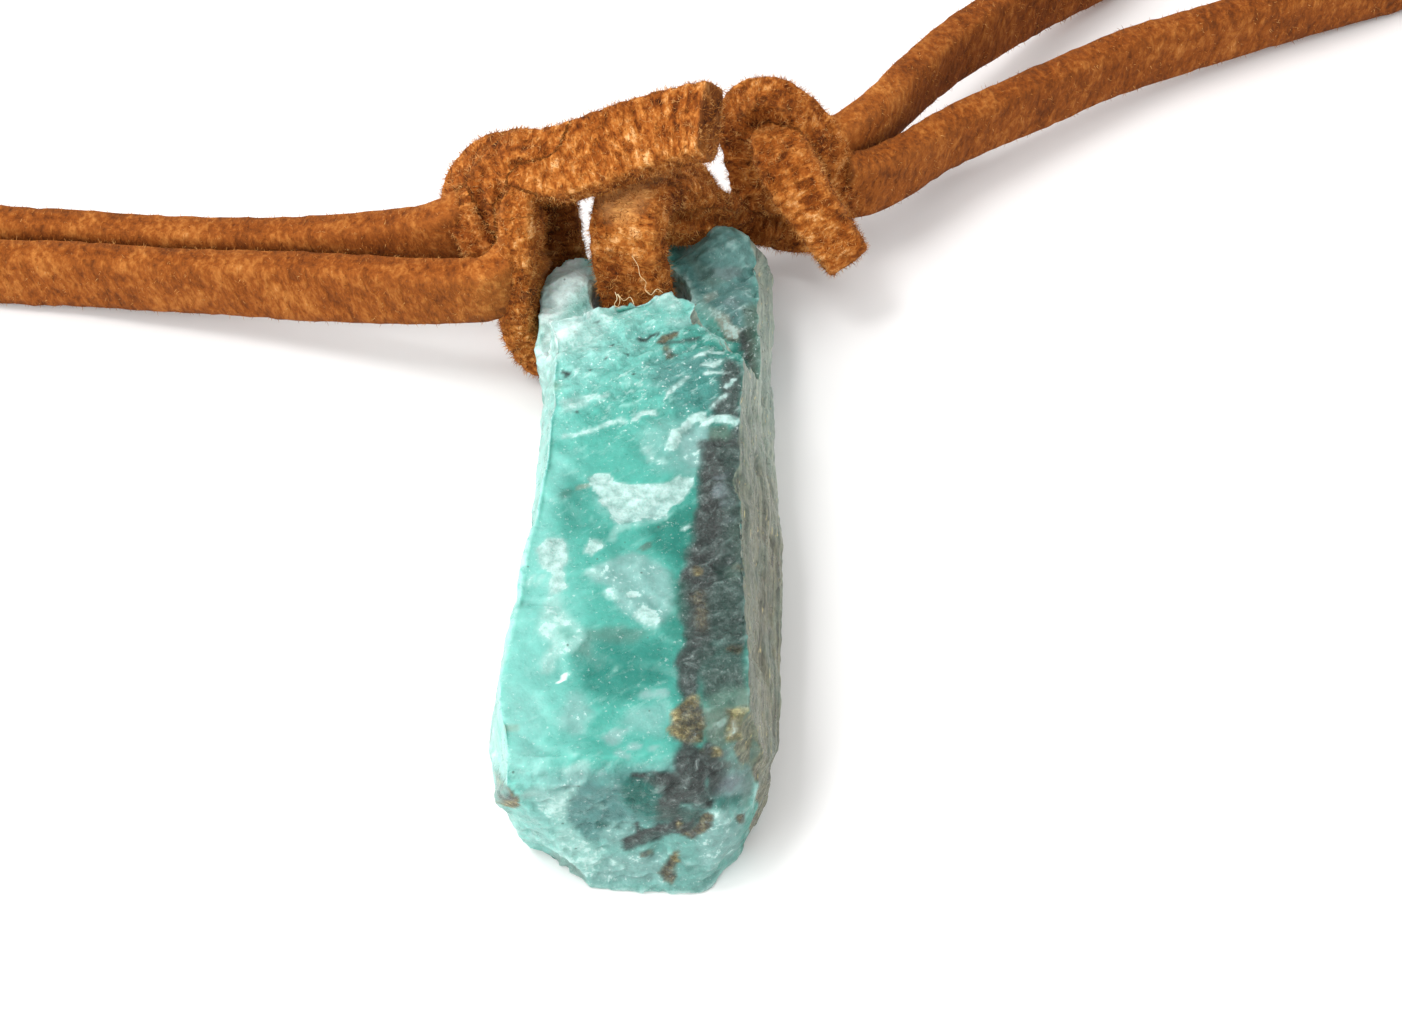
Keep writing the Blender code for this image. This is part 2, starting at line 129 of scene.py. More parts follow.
def easedNormals(mesh, normals, rounds):
    # Normals averaged over the neighbours, so that fine relief doesn't break up a face
    gather = neighbourSums(mesh, normals)[0]
    eased = np.nan_to_num(normals)
    for _ in range(rounds):
        eased += gather(eased)
        eased /= np.linalg.norm(eased, axis=1)[:, None] + 1e-9
    return eased


def hollowDepth(mesh, rounds):
    # Millimetres that each vertex lies below the smoothed surface: above 0 in creases
    places, normals = readPoints(mesh)
    gather, number = neighbourSums(mesh, places)
    even = places.copy()
    for _ in range(rounds):
        even = (even + gather(even)) / (number + 1)
    return ((even - places) * easedNormals(mesh, normals, 3)).sum(axis=1)


def shadeAt(places, spots):
    # Amounts at listed places, each a centre, a radius and an amount: painted shade, and at lit spots
    # painted highlights
    dark = np.zeros(len(places))
    for centre, radius, amount in spots:
        away = np.linalg.norm(places - np.array(centre), axis=1)
        dark = np.maximum(dark, amount * (1.0 - smoothAll(away, 0.45 * radius, radius)))
    return dark


# Splines through listed points

def spline(points, amount):
    last = len(points) - 1
    i = min(int(amount), last - 1)
    t = amount - i
    a, b, c, d = points[max(i - 1, 0)], points[i], points[i + 1], points[min(i + 2, last)]
    return 0.5 * ((2.0 * b) + (c - a) * t + (2.0 * a - 5.0 * b + 4.0 * c - d) * t * t
                  + (3.0 * b - a - 3.0 * c + d) * t * t * t)


def evenAmounts(points, step):
    # Places along the spline that lie an equal way apart
    fine = np.linspace(0.0, len(points) - 1.0, (len(points) - 1) * 30 + 1)
    places = np.array([spline(points, f) for f in fine])
    run = np.concatenate(([0.0], np.cumsum(np.linalg.norm(np.diff(places, axis=0), axis=1))))
    count = max(2, round(run[-1] / step))
    return list(np.interp(np.linspace(0.0, run[-1], count + 1), run, fine)), run[-1]


# Nodes

def newMaterial(name):
    mat = bpy.data.materials.new(name)
    mat.use_nodes = True
    tree = mat.node_tree
    tree.nodes.clear()
    shader = tree.nodes.new("ShaderNodeBsdfPrincipled")
    out = tree.nodes.new("ShaderNodeOutputMaterial")
    tree.links.new(shader.outputs["BSDF"], out.inputs["Surface"])
    return mat, tree, shader


def feed(tree, socket, value):
    if isinstance(value, bpy.types.NodeSocket):
        tree.links.new(value, socket)
    else:
        socket.default_value = value


def stretched(tree, coords, scale, turn=0.0):
    mapping = tree.nodes.new("ShaderNodeMapping")
    tree.links.new(coords, mapping.inputs["Vector"])
    mapping.inputs["Scale"].default_value = scale
    mapping.inputs["Rotation"].default_value = (0.0, 0.0, math.radians(turn))
    return mapping.outputs["Vector"]


def noiseNode(tree, coords, scale, detail=4.0, roughness=0.55, stretch=(1.0, 1.0, 1.0), distortion=0.0):
    node = tree.nodes.new("ShaderNodeTexNoise")
    tree.links.new(stretched(tree, coords, stretch), node.inputs["Vector"])
    node.inputs["Scale"].default_value = scale
    node.inputs["Detail"].default_value = detail
    node.inputs["Roughness"].default_value = roughness
    node.inputs["Distortion"].default_value = distortion
    return node.outputs["Fac"]


def cellNode(tree, coords, scale, stretch=(1.0, 1.0, 1.0)):
    node = tree.nodes.new("ShaderNodeTexVoronoi")
    tree.links.new(stretched(tree, coords, stretch), node.inputs["Vector"])
    node.inputs["Scale"].default_value = scale
    return node.outputs["Distance"]


def mathNode(tree, operation, a, b):
    node = tree.nodes.new("ShaderNodeMath")
    node.operation = operation
    feed(tree, node.inputs[0], a)
    feed(tree, node.inputs[1], b)
    return node.outputs["Value"]


def plus(tree, a, b):
    return mathNode(tree, "ADD", a, b)


def times(tree, a, b):
    return mathNode(tree, "MULTIPLY", a, b)


def centred(tree, value, amount):
    # How far a noise lies from its middle, times an amount
    return times(tree, mathNode(tree, "SUBTRACT", value, 0.5), amount)


def rangeNode(tree, value, low, high, toLow=0.0, toHigh=1.0):
    node = tree.nodes.new("ShaderNodeMapRange")
    node.interpolation_type = "SMOOTHSTEP"
    feed(tree, node.inputs["Value"], value)
    node.inputs["From Min"].default_value = low
    node.inputs["From Max"].default_value = high
    node.inputs["To Min"].default_value = toLow
    node.inputs["To Max"].default_value = toHigh
    return node.outputs["Result"]


def mixNode(tree, factor, a, b, blend="MIX"):
    node = tree.nodes.new("ShaderNodeMix")
    node.data_type = "RGBA"
    node.blend_type = blend
    feed(tree, node.inputs["Factor"], factor)
    feed(tree, node.inputs[6], a)
    feed(tree, node.inputs[7], b)
    return node.outputs[2]


def rampNode(tree, value, stops):
    node = tree.nodes.new("ShaderNodeValToRGB")
    feed(tree, node.inputs["Fac"], value)
    ramp = node.color_ramp
    while len(ramp.elements) < len(stops):
        ramp.elements.new(0.5)
    for element, (place, colour) in zip(ramp.elements, stops):
        element.position = place
        element.color = tint(colour)
    return node.outputs["Color"]


def fieldNode(tree, name, output="Fac"):
    node = tree.nodes.new("ShaderNodeAttribute")
    node.attribute_name = name
    return node.outputs[output]


def bumpNode(tree, height, strength, distance, normal=None):
    node = tree.nodes.new("ShaderNodeBump")
    feed(tree, node.inputs["Height"], height)
    feed(tree, node.inputs["Strength"], strength)
    node.inputs["Distance"].default_value = distance * mm
    if normal is not None:
        tree.links.new(normal, node.inputs["Normal"])
    return node.outputs["Normal"]


def objectCoords(tree):
    # Object coordinates counted in millimetres
    coords = tree.nodes.new("ShaderNodeTexCoord")
    return stretched(tree, coords.outputs["Object"], (1 / mm, 1 / mm, 1 / mm))


# Camera, light and floor

view = {
    "place": (2.0, -75.5, 100.6),
    "tilt": 38.0,            # degrees up from straight down
    "lens": 84.7,
    "sensor": 36.0,
    "clip": 2.0,
}
studio = {
    "sky": 1.0,
    "key": {"place": (-190.0, 120.0, 340.0), "size": 220.0, "power": 0.38},
    "top": {"place": (-150.0, -20.0, 380.0), "size": 120.0, "power": 0.5},
    "fill": {"place": (-240.0, -220.0, 220.0), "size": 220.0, "power": 0.75},
    "floor": "#f3f2f1",
    "floorHalf": 1500.0,
    "floorDrop": 0.02,       # keeps the floor just under the flat faces that rest on it
}


def aimedLight(name, place, size, power):
    light = bpy.data.lights.new(name, "AREA")
    light.shape = "DISK"
    light.size = size * mm
    light.energy = power
    lamp = bpy.data.objects.new(name, light)
    lamp.location = Vector(place) * mm
    lamp.rotation_euler = (-Vector(place)).to_track_quat("-Z", "Y").to_euler()
    scene.collection.objects.link(lamp)


def makeStage():
    data = bpy.data.cameras.new("camera")
    data.sensor_width = view["sensor"]
    data.lens = view["lens"]
    data.clip_start = view["clip"] * mm
    camera = bpy.data.objects.new("camera", data)
    camera.location = Vector(view["place"]) * mm
    camera.rotation_euler = (math.radians(view["tilt"]), 0.0, 0.0)
    scene.collection.objects.link(camera)
    scene.camera = camera
    world = bpy.data.worlds.new("sky")
    world.use_nodes = True
    back = world.node_tree.nodes["Background"]
    back.inputs["Color"].default_value = (1.0, 1.0, 1.0, 1.0)
    back.inputs["Strength"].default_value = studio["sky"]
    scene.world = world
    scene.view_settings.view_transform = "Standard"
    for name in ("key", "top", "fill"):
        aimedLight(name, **studio[name])
    bm = bmesh.new()
    bmesh.ops.create_grid(bm, x_segments=1, y_segments=1, size=studio["floorHalf"] * mm)
    bmesh.ops.translate(bm, vec=(0.0, 0.0, -studio["floorDrop"] * mm), verts=bm.verts)
    floor = addObject(bm, "floor")
    mat, _, shader = newMaterial("floor")
    shader.inputs["Base Color"].default_value = tint(studio["floor"])
    shader.inputs["Roughness"].default_value = 0.9
    floor.data.materials.append(mat)


makeStage()
print("stage ready")


# Suede

suedeLook = {
    "grain": ((0.34, "#381807"), (0.43, "#6a330e"), (0.51, "#96501a"), (0.59, "#c07a38"), (0.68, "#e8b277")),
    # The cut ends' colour, the tint that painted shade multiplies in, and the tint that worn ridges and
    # painted highlights screen in
    "cut": "#3c1d0a", "paintedShade": (0.42, 0.29, 0.22, 1.0), "glow": (0.36, 0.17, 0.06, 1.0),
    "sheen": "#e8a868", "nap": ((0.36, "#6e3a12"), (0.5, "#a86425"), (0.64, "#dba564")),
    "calm": 0.55,            # the neck lace's contrast
}


def makeSuede(name, contrast=1.0):
    # The grain field holds millimetres along, across and through the lace
    mat, tree, shader = newMaterial(name)
    coords = fieldNode(tree, "grain", "Vector")
    broad = noiseNode(tree, coords, 0.5, 3.0)
    ribs = noiseNode(tree, coords, 1.6, 4.0, 0.62, stretch=(1.35, 0.55, 0.8), distortion=0.5)
    tufts = noiseNode(tree, coords, 3.8, 3.0, 0.62, stretch=(1.1, 0.5, 1.0), distortion=0.3)
    hairs = noiseNode(tree, coords, 11.0, 3.0, 0.7, stretch=(1.0, 0.55, 1.0))
    mixed = plus(tree, times(tree, ribs, 0.28), times(tree, tufts, 0.54))
    mixed = plus(tree, mixed, times(tree, hairs, 0.18))
    mixed = plus(tree, mixed, centred(tree, broad, 0.35))
    mixed = plus(tree, centred(tree, mixed, contrast), 0.5)
    colour = rampNode(tree, mixed, suedeLook["grain"])
    colour = mixNode(tree, times(tree, fieldNode(tree, "cut"), 0.6), colour, tint(suedeLook["cut"]))
    # Painted shade: creases, undersides and listed spots darker and redder; ridges a little lighter from
    # wear, and lit spots lighter as painted highlights
    colour = mixNode(tree, fieldNode(tree, "paintedShade"), colour,
                     mixNode(tree, 1.0, colour, suedeLook["paintedShade"], "MULTIPLY"))
    colour = mixNode(tree, fieldNode(tree, "ridgeWearAndHighlight"), colour,
                     mixNode(tree, 1.0, colour, suedeLook["glow"], "SCREEN"))
    tree.links.new(colour, shader.inputs["Base Color"])
    shader.inputs["Roughness"].default_value = 0.95
    shader.inputs["Specular IOR Level"].default_value = 0.12
    shader.inputs["Sheen Weight"].default_value = 0.12
    shader.inputs["Sheen Roughness"].default_value = 0.5
    shader.inputs["Sheen Tint"].default_value = tint(suedeLook["sheen"])
    coarse = bumpNode(tree, ribs, 0.9, 0.16)
    middle = bumpNode(tree, tufts, 0.9, 0.12, coarse)
    tree.links.new(bumpNode(tree, hairs, 0.5, 0.04, middle), shader.inputs["Normal"])
    return mat


def makeNapMaterial():
    mat, tree, shader = newMaterial("suede_nap")
    coords = objectCoords(tree)
    tufts = noiseNode(tree, coords, 2.6, 4.0, 0.65)
    tree.links.new(rampNode(tree, tufts, suedeLook["nap"]), shader.inputs["Base Color"])
    shader.inputs["Roughness"].default_value = 0.9
    shader.inputs["Specular IOR Level"].default_value = 0.2
    return mat


suede = makeSuede("suede")
neckSuede = makeSuede("neck_suede", suedeLook["calm"])
napMaterial = makeNapMaterial()


# Flat lace, swept along a route with a direction for its flat face

lace = {
    "width": 3.0, "thickness": 1.4, "corners": 22, "knotWidth": 2.3,
    "squareAcross": 0.33, "squareThrough": 0.40, "creaseHalf": 0.32,
    "runGap": 40.0,          # grain of one run to the next, so that no two look alike
}


def laceSection(width, thickness, corners, crease=0.0):
    # A flat strip with rounded edges: a circle squared up, one point a corner
    points = []
    for k in range(corners):
        turn = 2 * math.pi * k / corners
        c, s = math.cos(turn), math.sin(turn)
        across = width / 2 * math.copysign(abs(c) ** lace["squareAcross"], c)
        through = thickness / 2 * math.copysign(abs(s) ** lace["squareThrough"], s)
        if through > 0.0:
            through -= crease * math.exp(-(across / lace["creaseHalf"]) ** 2)
        points.append((across, through))
    return points


def directions(path, flats, k):
    # Unit vectors along, across and through the lace at a point of its path
    along = (path[min(k + 1, len(path) - 1)] - path[max(k - 1, 0)]).normalized()
    flat = (flats[k] - along * flats[k].dot(along)).normalized()
    return along, along.cross(flat), flat


def sweepLace(bm, path, flats, widths, thickness, corners, creases=None):
    ring = bmesh.ops.create_circle(bm, cap_ends=False, radius=mm, segments=corners)["verts"]
    first = list(ring)
    for k, place in enumerate(path):
        _, across, flat = directions(path, flats, k)
        if k:
            edges = [bm.edges.get((ring[i], ring[(i + 1) % corners])) for i in range(corners)]
            grown = bmesh.ops.extrude_edge_only(bm, edges=edges)["geom"]
            fresh = {v for v in grown if isinstance(v, bmesh.types.BMVert)}
            ring = [next(e.other_vert(v) for e in v.link_edges if e.other_vert(v) in fresh)
                    for v in ring]
        section = laceSection(widths[k], thickness, corners, creases[k] if creases else 0.0)
        for vert, (u, v) in zip(ring, section):
            vert.co = (place + across * u + flat * v) * mm
    bm.faces.new(first)
    bm.faces.new(ring)


def settleLace(bm):
    # Outward normals, and faces in an order that is the same each run, which the nap's draws need
    bmesh.ops.recalc_face_normals(bm, faces=bm.faces)
    bm.verts.index_update()
    count = len(bm.verts)
    bm.faces.sort(key=lambda f: min(v.index for v in f.verts) * count + max(v.index for v in f.verts))


def grainField(mesh, runs):
    # How far along, across and through the lace each vertex lies; runs are (path, flats) pairs
    rows = []
    for number, (path, flats) in enumerate(runs):
        gone = lace["runGap"] * number
        for k, place in enumerate(path):
            gone += (place - path[k - 1]).length if k else 0.0
            atEnd = k in (0, len(path) - 1)
            rows.append((place, *directions(path, flats, k), gone, atEnd))
    tree = kdtree.KDTree(len(rows))
    for k, row in enumerate(rows):
        tree.insert(row[0], k)
    tree.balance()
    places, normals = readPoints(mesh)
    grain = np.empty((len(places), 3))
    cut = np.zeros(len(places))
    for i, (place, normal) in enumerate(zip(places, normals)):
        spot = Vector(place)
        base, along, across, flat, gone, atEnd = rows[tree.find(spot)[1]]
        away = spot - base
        grain[i] = (gone + away.dot(along), away.dot(across), away.dot(flat))
        if atEnd:
            cut[i] = smooth(abs(along.dot(Vector(normal))), 0.5, 0.8)
    field = mesh.attributes.new("grain", "FLOAT_VECTOR", "POINT")
    field.data.foreach_set("vector", grain.astype(np.float32).ravel())
    addField(mesh, "cut", cut)
    return grain


def shadeSuede(mesh, spots, lit, rounds, worn):
    # Painted shade in creases, on undersides and at listed spots; lighter ridges from wear where the lace
    # stands out, and painted highlights where it is lit
    places, normals = readPoints(mesh)
    hollow = hollowDepth(mesh, rounds)
    # Painted shade on faces that look down
    under = 0.75 * smoothAll(-easedNormals(mesh, normals, 3)[:, 2], -0.05, 0.6)
    paintedShade = np.maximum(shadeAt(places, spots), under)
    # Painted shade in creases
    paintedShade += 0.95 * smoothAll(hollow, 0.04, 0.24) * (1.0 - paintedShade)
    addField(mesh, "paintedShade", paintedShade)
    # Ridges lighter from wear, with painted highlights at the lit spots
    ridgeWearAndHighlight = worn * smoothAll(-hollow, 0.06, 0.26)
    addField(mesh, "ridgeWearAndHighlight", np.maximum(ridgeWearAndHighlight, shadeAt(places, lit)) * (1.0 - paintedShade))


def nappedRelief(mesh, grain, height):
    # Lumps of nap that run across the lace
    places, normals = readPoints(mesh)
    lift = noiseAt(grain, (2.4, 0.95, 1.2)) + 0.6 * noiseAt(grain, (4.6, 2.4, 3.0), (5.0, 1.0, 9.0))
    writePoints(mesh, places + normals * (height * lift)[:, None])


# Neck lace: two strands, left knot to right knot by way of one flat roll of spare length

neck = {
    "coilCentre": (4.0, 53.0), "outerTurn": 19.3, "track": 1.7, "layerTurns": 1.25,
    "layerHeight": 3.1, "onEdge": 1.55, "climb": 40.0, "step": 0.4, "turnStep": 15.0,
    "slimmer": 0.08, "thinner": 0.06, "corners": 14, "sway": 0.16, "relief": 0.05,
    "hollowRounds": 4, "worn": 0.1, "nap": 30000, "napReach": (0.10, 0.24),
    # Painted shade: spots where the neck lace is darker and redder
    "shades": [((18.0, 27.0, 2.0), 15.0, 0.45), ((34.0, 31.0, 2.0), 14.0, 0.45),
               ((-14.0, 11.5, 3.5), 10.0, 0.36), ((-25.0, 14.0, 2.0), 10.0, 0.3)],
}
edgeZ = neck["onEdge"]
leftFront = [
    (-4.6, 11.1, 6.2), (-5.2, 10.4, 5.75), (-6.3, 9.75, 5.2), (-8.94, 10.15, 4.6),
    (-11.36, 10.79, 4.0), (-13.82, 11.48, 3.4), (-16.91, 12.18, 2.8), (-20.03, 12.84, 2.3),
    (-23.16, 13.47, 1.9), (-26.3, 13.87, 1.6), (-29.6, 14.5, edgeZ), (-32.4, 16.4, edgeZ),
    (-34.3, 19.6, edgeZ), (-35.2, 24.0, edgeZ), (-34.8, 28.9, edgeZ), (-32.5, 33.7, edgeZ),
    (-28.5, 38.0, edgeZ), (-23.7, 41.9, edgeZ), (-19.7, 46.7, edgeZ), (-16.7, 49.9, edgeZ),
]
leftBack = [
    (-6.6, 12.5, 6.5), (-7.6, 12.15, 5.95), (-8.8, 12.15, 5.3), (-11.46, 12.68, 4.4),
    (-13.94, 13.25, 3.6), (-17.05, 13.88, 2.9), (-20.20, 14.55, 2.3), (-23.36, 15.20, 1.9),
    (-26.3, 15.70, 1.6), (-29.0, 16.4, edgeZ), (-31.1, 17.9, edgeZ), (-32.5, 20.5, edgeZ),
    (-33.4, 24.1, edgeZ), (-33.0, 28.2, edgeZ), (-30.9, 32.6, edgeZ), (-27.1, 36.9, edgeZ),
    (-22.4, 40.7, edgeZ), (-18.6, 45.2, edgeZ), (-15.5, 49.3, edgeZ),
]
rightUpper = [
    (6.6, 17.0, 4.8), (7.7, 17.9, 4.75), (9.0, 19.4, 4.5), (10.5, 21.7, 4.1),
    (12.36, 24.3, 3.6), (14.8, 27.0, 3.0), (16.8, 29.0, 2.5), (19.2, 31.1, 2.0),
    (21.8, 33.6, edgeZ), (23.6, 36.5, edgeZ), (24.2, 39.6, edgeZ), (23.7, 42.6, edgeZ),
    (22.9, 46.0, 2.6), (22.2, 49.3, 4.3),
]
rightLower = [
    (7.4, 16.3, 4.1), (8.7, 16.9, 3.6), (10.3, 18.2, 3.3), (11.9, 19.7, 3.1),
    (13.6, 20.9, 3.0), (16.4, 22.8, 2.7), (19.7, 25.0, 2.4), (23.0, 26.7, 2.1),
    (26.4, 28.3, 1.9), (29.8, 29.8, 1.7), (33.0, 31.4, edgeZ), (35.9, 33.8, edgeZ),
    (37.2, 37.2, edgeZ), (36.6, 40.9, edgeZ), (34.2, 44.3, 1.65), (30.9, 48.1, 2.3),
    (27.3, 52.0, 3.2), (25.9, 53.9, 3.7), (24.1, 56.6, 4.3),
]


def coilTurns(lane, stopAngle):
    # Clockwise from the left: inwards on the lower layer, up, and outwards on the upper one
    half = neck["layerTurns"] * 360.0
    end = 2 * half - stopAngle
    points = []
    turn = 0.0
    while turn <= end:
        inward = min(turn, half) - max(turn - half, 0.0)
        radius = neck["outerTurn"] - neck["track"] * (lane + 2.0 * inward / 360.0)
        rise = smooth(turn, half - neck["climb"] / 2, half + neck["climb"] / 2)
        angle = math.radians(180.0 - turn)
        points.append((neck["coilCentre"][0] + radius * math.cos(angle),
                       neck["coilCentre"][1] + radius * math.sin(angle),
                       edgeZ + neck["layerHeight"] * rise))
        turn += neck["turnStep"]
    return points


def makeNeckLace(name, left, right, lane, stopAngle, replaced):
    points = [Vector(p) for p in left + coilTurns(lane, stopAngle) + right[::-1]]
    amounts, length = evenAmounts(points, neck["step"])
    path = [spline(points, a) for a in amounts]
    last = len(path) - 1
    flats = []
    for k in range(len(path)):
        along = path[min(k + 1, last)] - path[max(k - 1, 0)]
        sway = neck["sway"] * noise.noise(path[k] * 0.16 + Vector((lane * 7.0, 0.0, 0.0)))
        flats.append(along.cross(Vector((0.0, 0.0, 1.0))).normalized() + Vector((0.0, 0.0, sway)))
    bm = bmesh.new()
    widths = [lace["width"] - neck["slimmer"]] * len(path)
    sweepLace(bm, path, flats, widths, lace["thickness"] - neck["thinner"], neck["corners"])
    settleLace(bm)
    strand = addObject(bm, name)
    strand.data.shade_smooth()
    nappedRelief(strand.data, grainField(strand.data, [(path, flats)]), neck["relief"])
    shadeSuede(strand.data, neck["shades"], [], neck["hollowRounds"], neck["worn"])
    strand.data.materials.append(neckSuede)
    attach(strand, "root")
    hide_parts(*replaced)
    print(name, round(length, 1), "mm")
    return strand


napFibre = {"thick": 0.03, "rooted": 0.03, "slope": (0.4, 1.5)}


def makeNap(name, source, count, seed, reach):
    # Fine fibres standing off the suede, each a slim closed spike
    mesh = source.data
    mesh.calc_loop_triangles()
    corners = np.empty(len(mesh.loop_triangles) * 3, dtype=np.int32)
    mesh.loop_triangles.foreach_get("vertices", corners)
    places = readPoints(mesh)[0]
    tri = corners.reshape(-1, 3)
    a, b, c = places[tri[:, 0]], places[tri[:, 1]], places[tri[:, 2]]
    face = np.cross(b - a, c - a)
    area = np.linalg.norm(face, axis=1)
    picker = np.random.default_rng(seed)
    chosen = picker.choice(len(tri), size=count, p=area / area.sum())
    u = picker.random(count)
    v = picker.random(count)
    flip = u + v > 1.0
    u[flip], v[flip] = 1.0 - u[flip], 1.0 - v[flip]
    root = a[chosen] + (b - a)[chosen] * u[:, None] + (c - a)[chosen] * v[:, None]
    up = face[chosen] / area[chosen][:, None]
    lean = picker.normal(size=(count, 3))
    lean -= up * (lean * up).sum(axis=1)[:, None]
    lean /= np.linalg.norm(lean, axis=1)[:, None]
    slope = picker.uniform(*napFibre["slope"], count)[:, None]
    aim = up + lean * slope
    aim /= np.linalg.norm(aim, axis=1)[:, None]
    side = np.cross(aim, up + 0.01)
    side /= np.linalg.norm(side, axis=1)[:, None]
    other = np.cross(aim, side)
    length = picker.uniform(*reach, count)[:, None]
    base = root - up * napFibre["rooted"]
    spikes = np.empty((count, 4, 3))
    for k in range(3):
        angle = 2 * math.pi * k / 3
        spikes[:, k] = base + (side * math.cos(angle) + other * math.sin(angle)) * napFibre["thick"] / 2
    spikes[:, 3] = base + aim * (length + napFibre["rooted"])
    faces = np.array([(0, 1, 3), (1, 2, 3), (2, 0, 3), (2, 1, 0)])
    allFaces = (np.arange(count)[:, None, None] * 4 + faces[None]).reshape(-1, 3)
    nap = bpy.data.meshes.new(name)
    nap.from_pydata((spikes.reshape(-1, 3) * mm).tolist(), [], allFaces.tolist())
    nap.update()
    obj = bpy.data.objects.new(name, nap)
    scene.collection.objects.link(obj)
    obj.data.materials.append(napMaterial)
    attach(obj, "root")


strandOne = makeNeckLace("neck_lace_one", leftFront, rightLower, 0.0, 20.0,
                         ["neck_lace_left_front", "neck_lace_right_lower", "lace_coil"])
strandTwo = makeNeckLace("neck_lace_two", leftBack, rightUpper, 1.0, 0.0,
                         ["neck_lace_left_back", "neck_lace_right_upper"])
print("neck lace ready")


# Tie lace: place, direction of the flat face and width, end to end

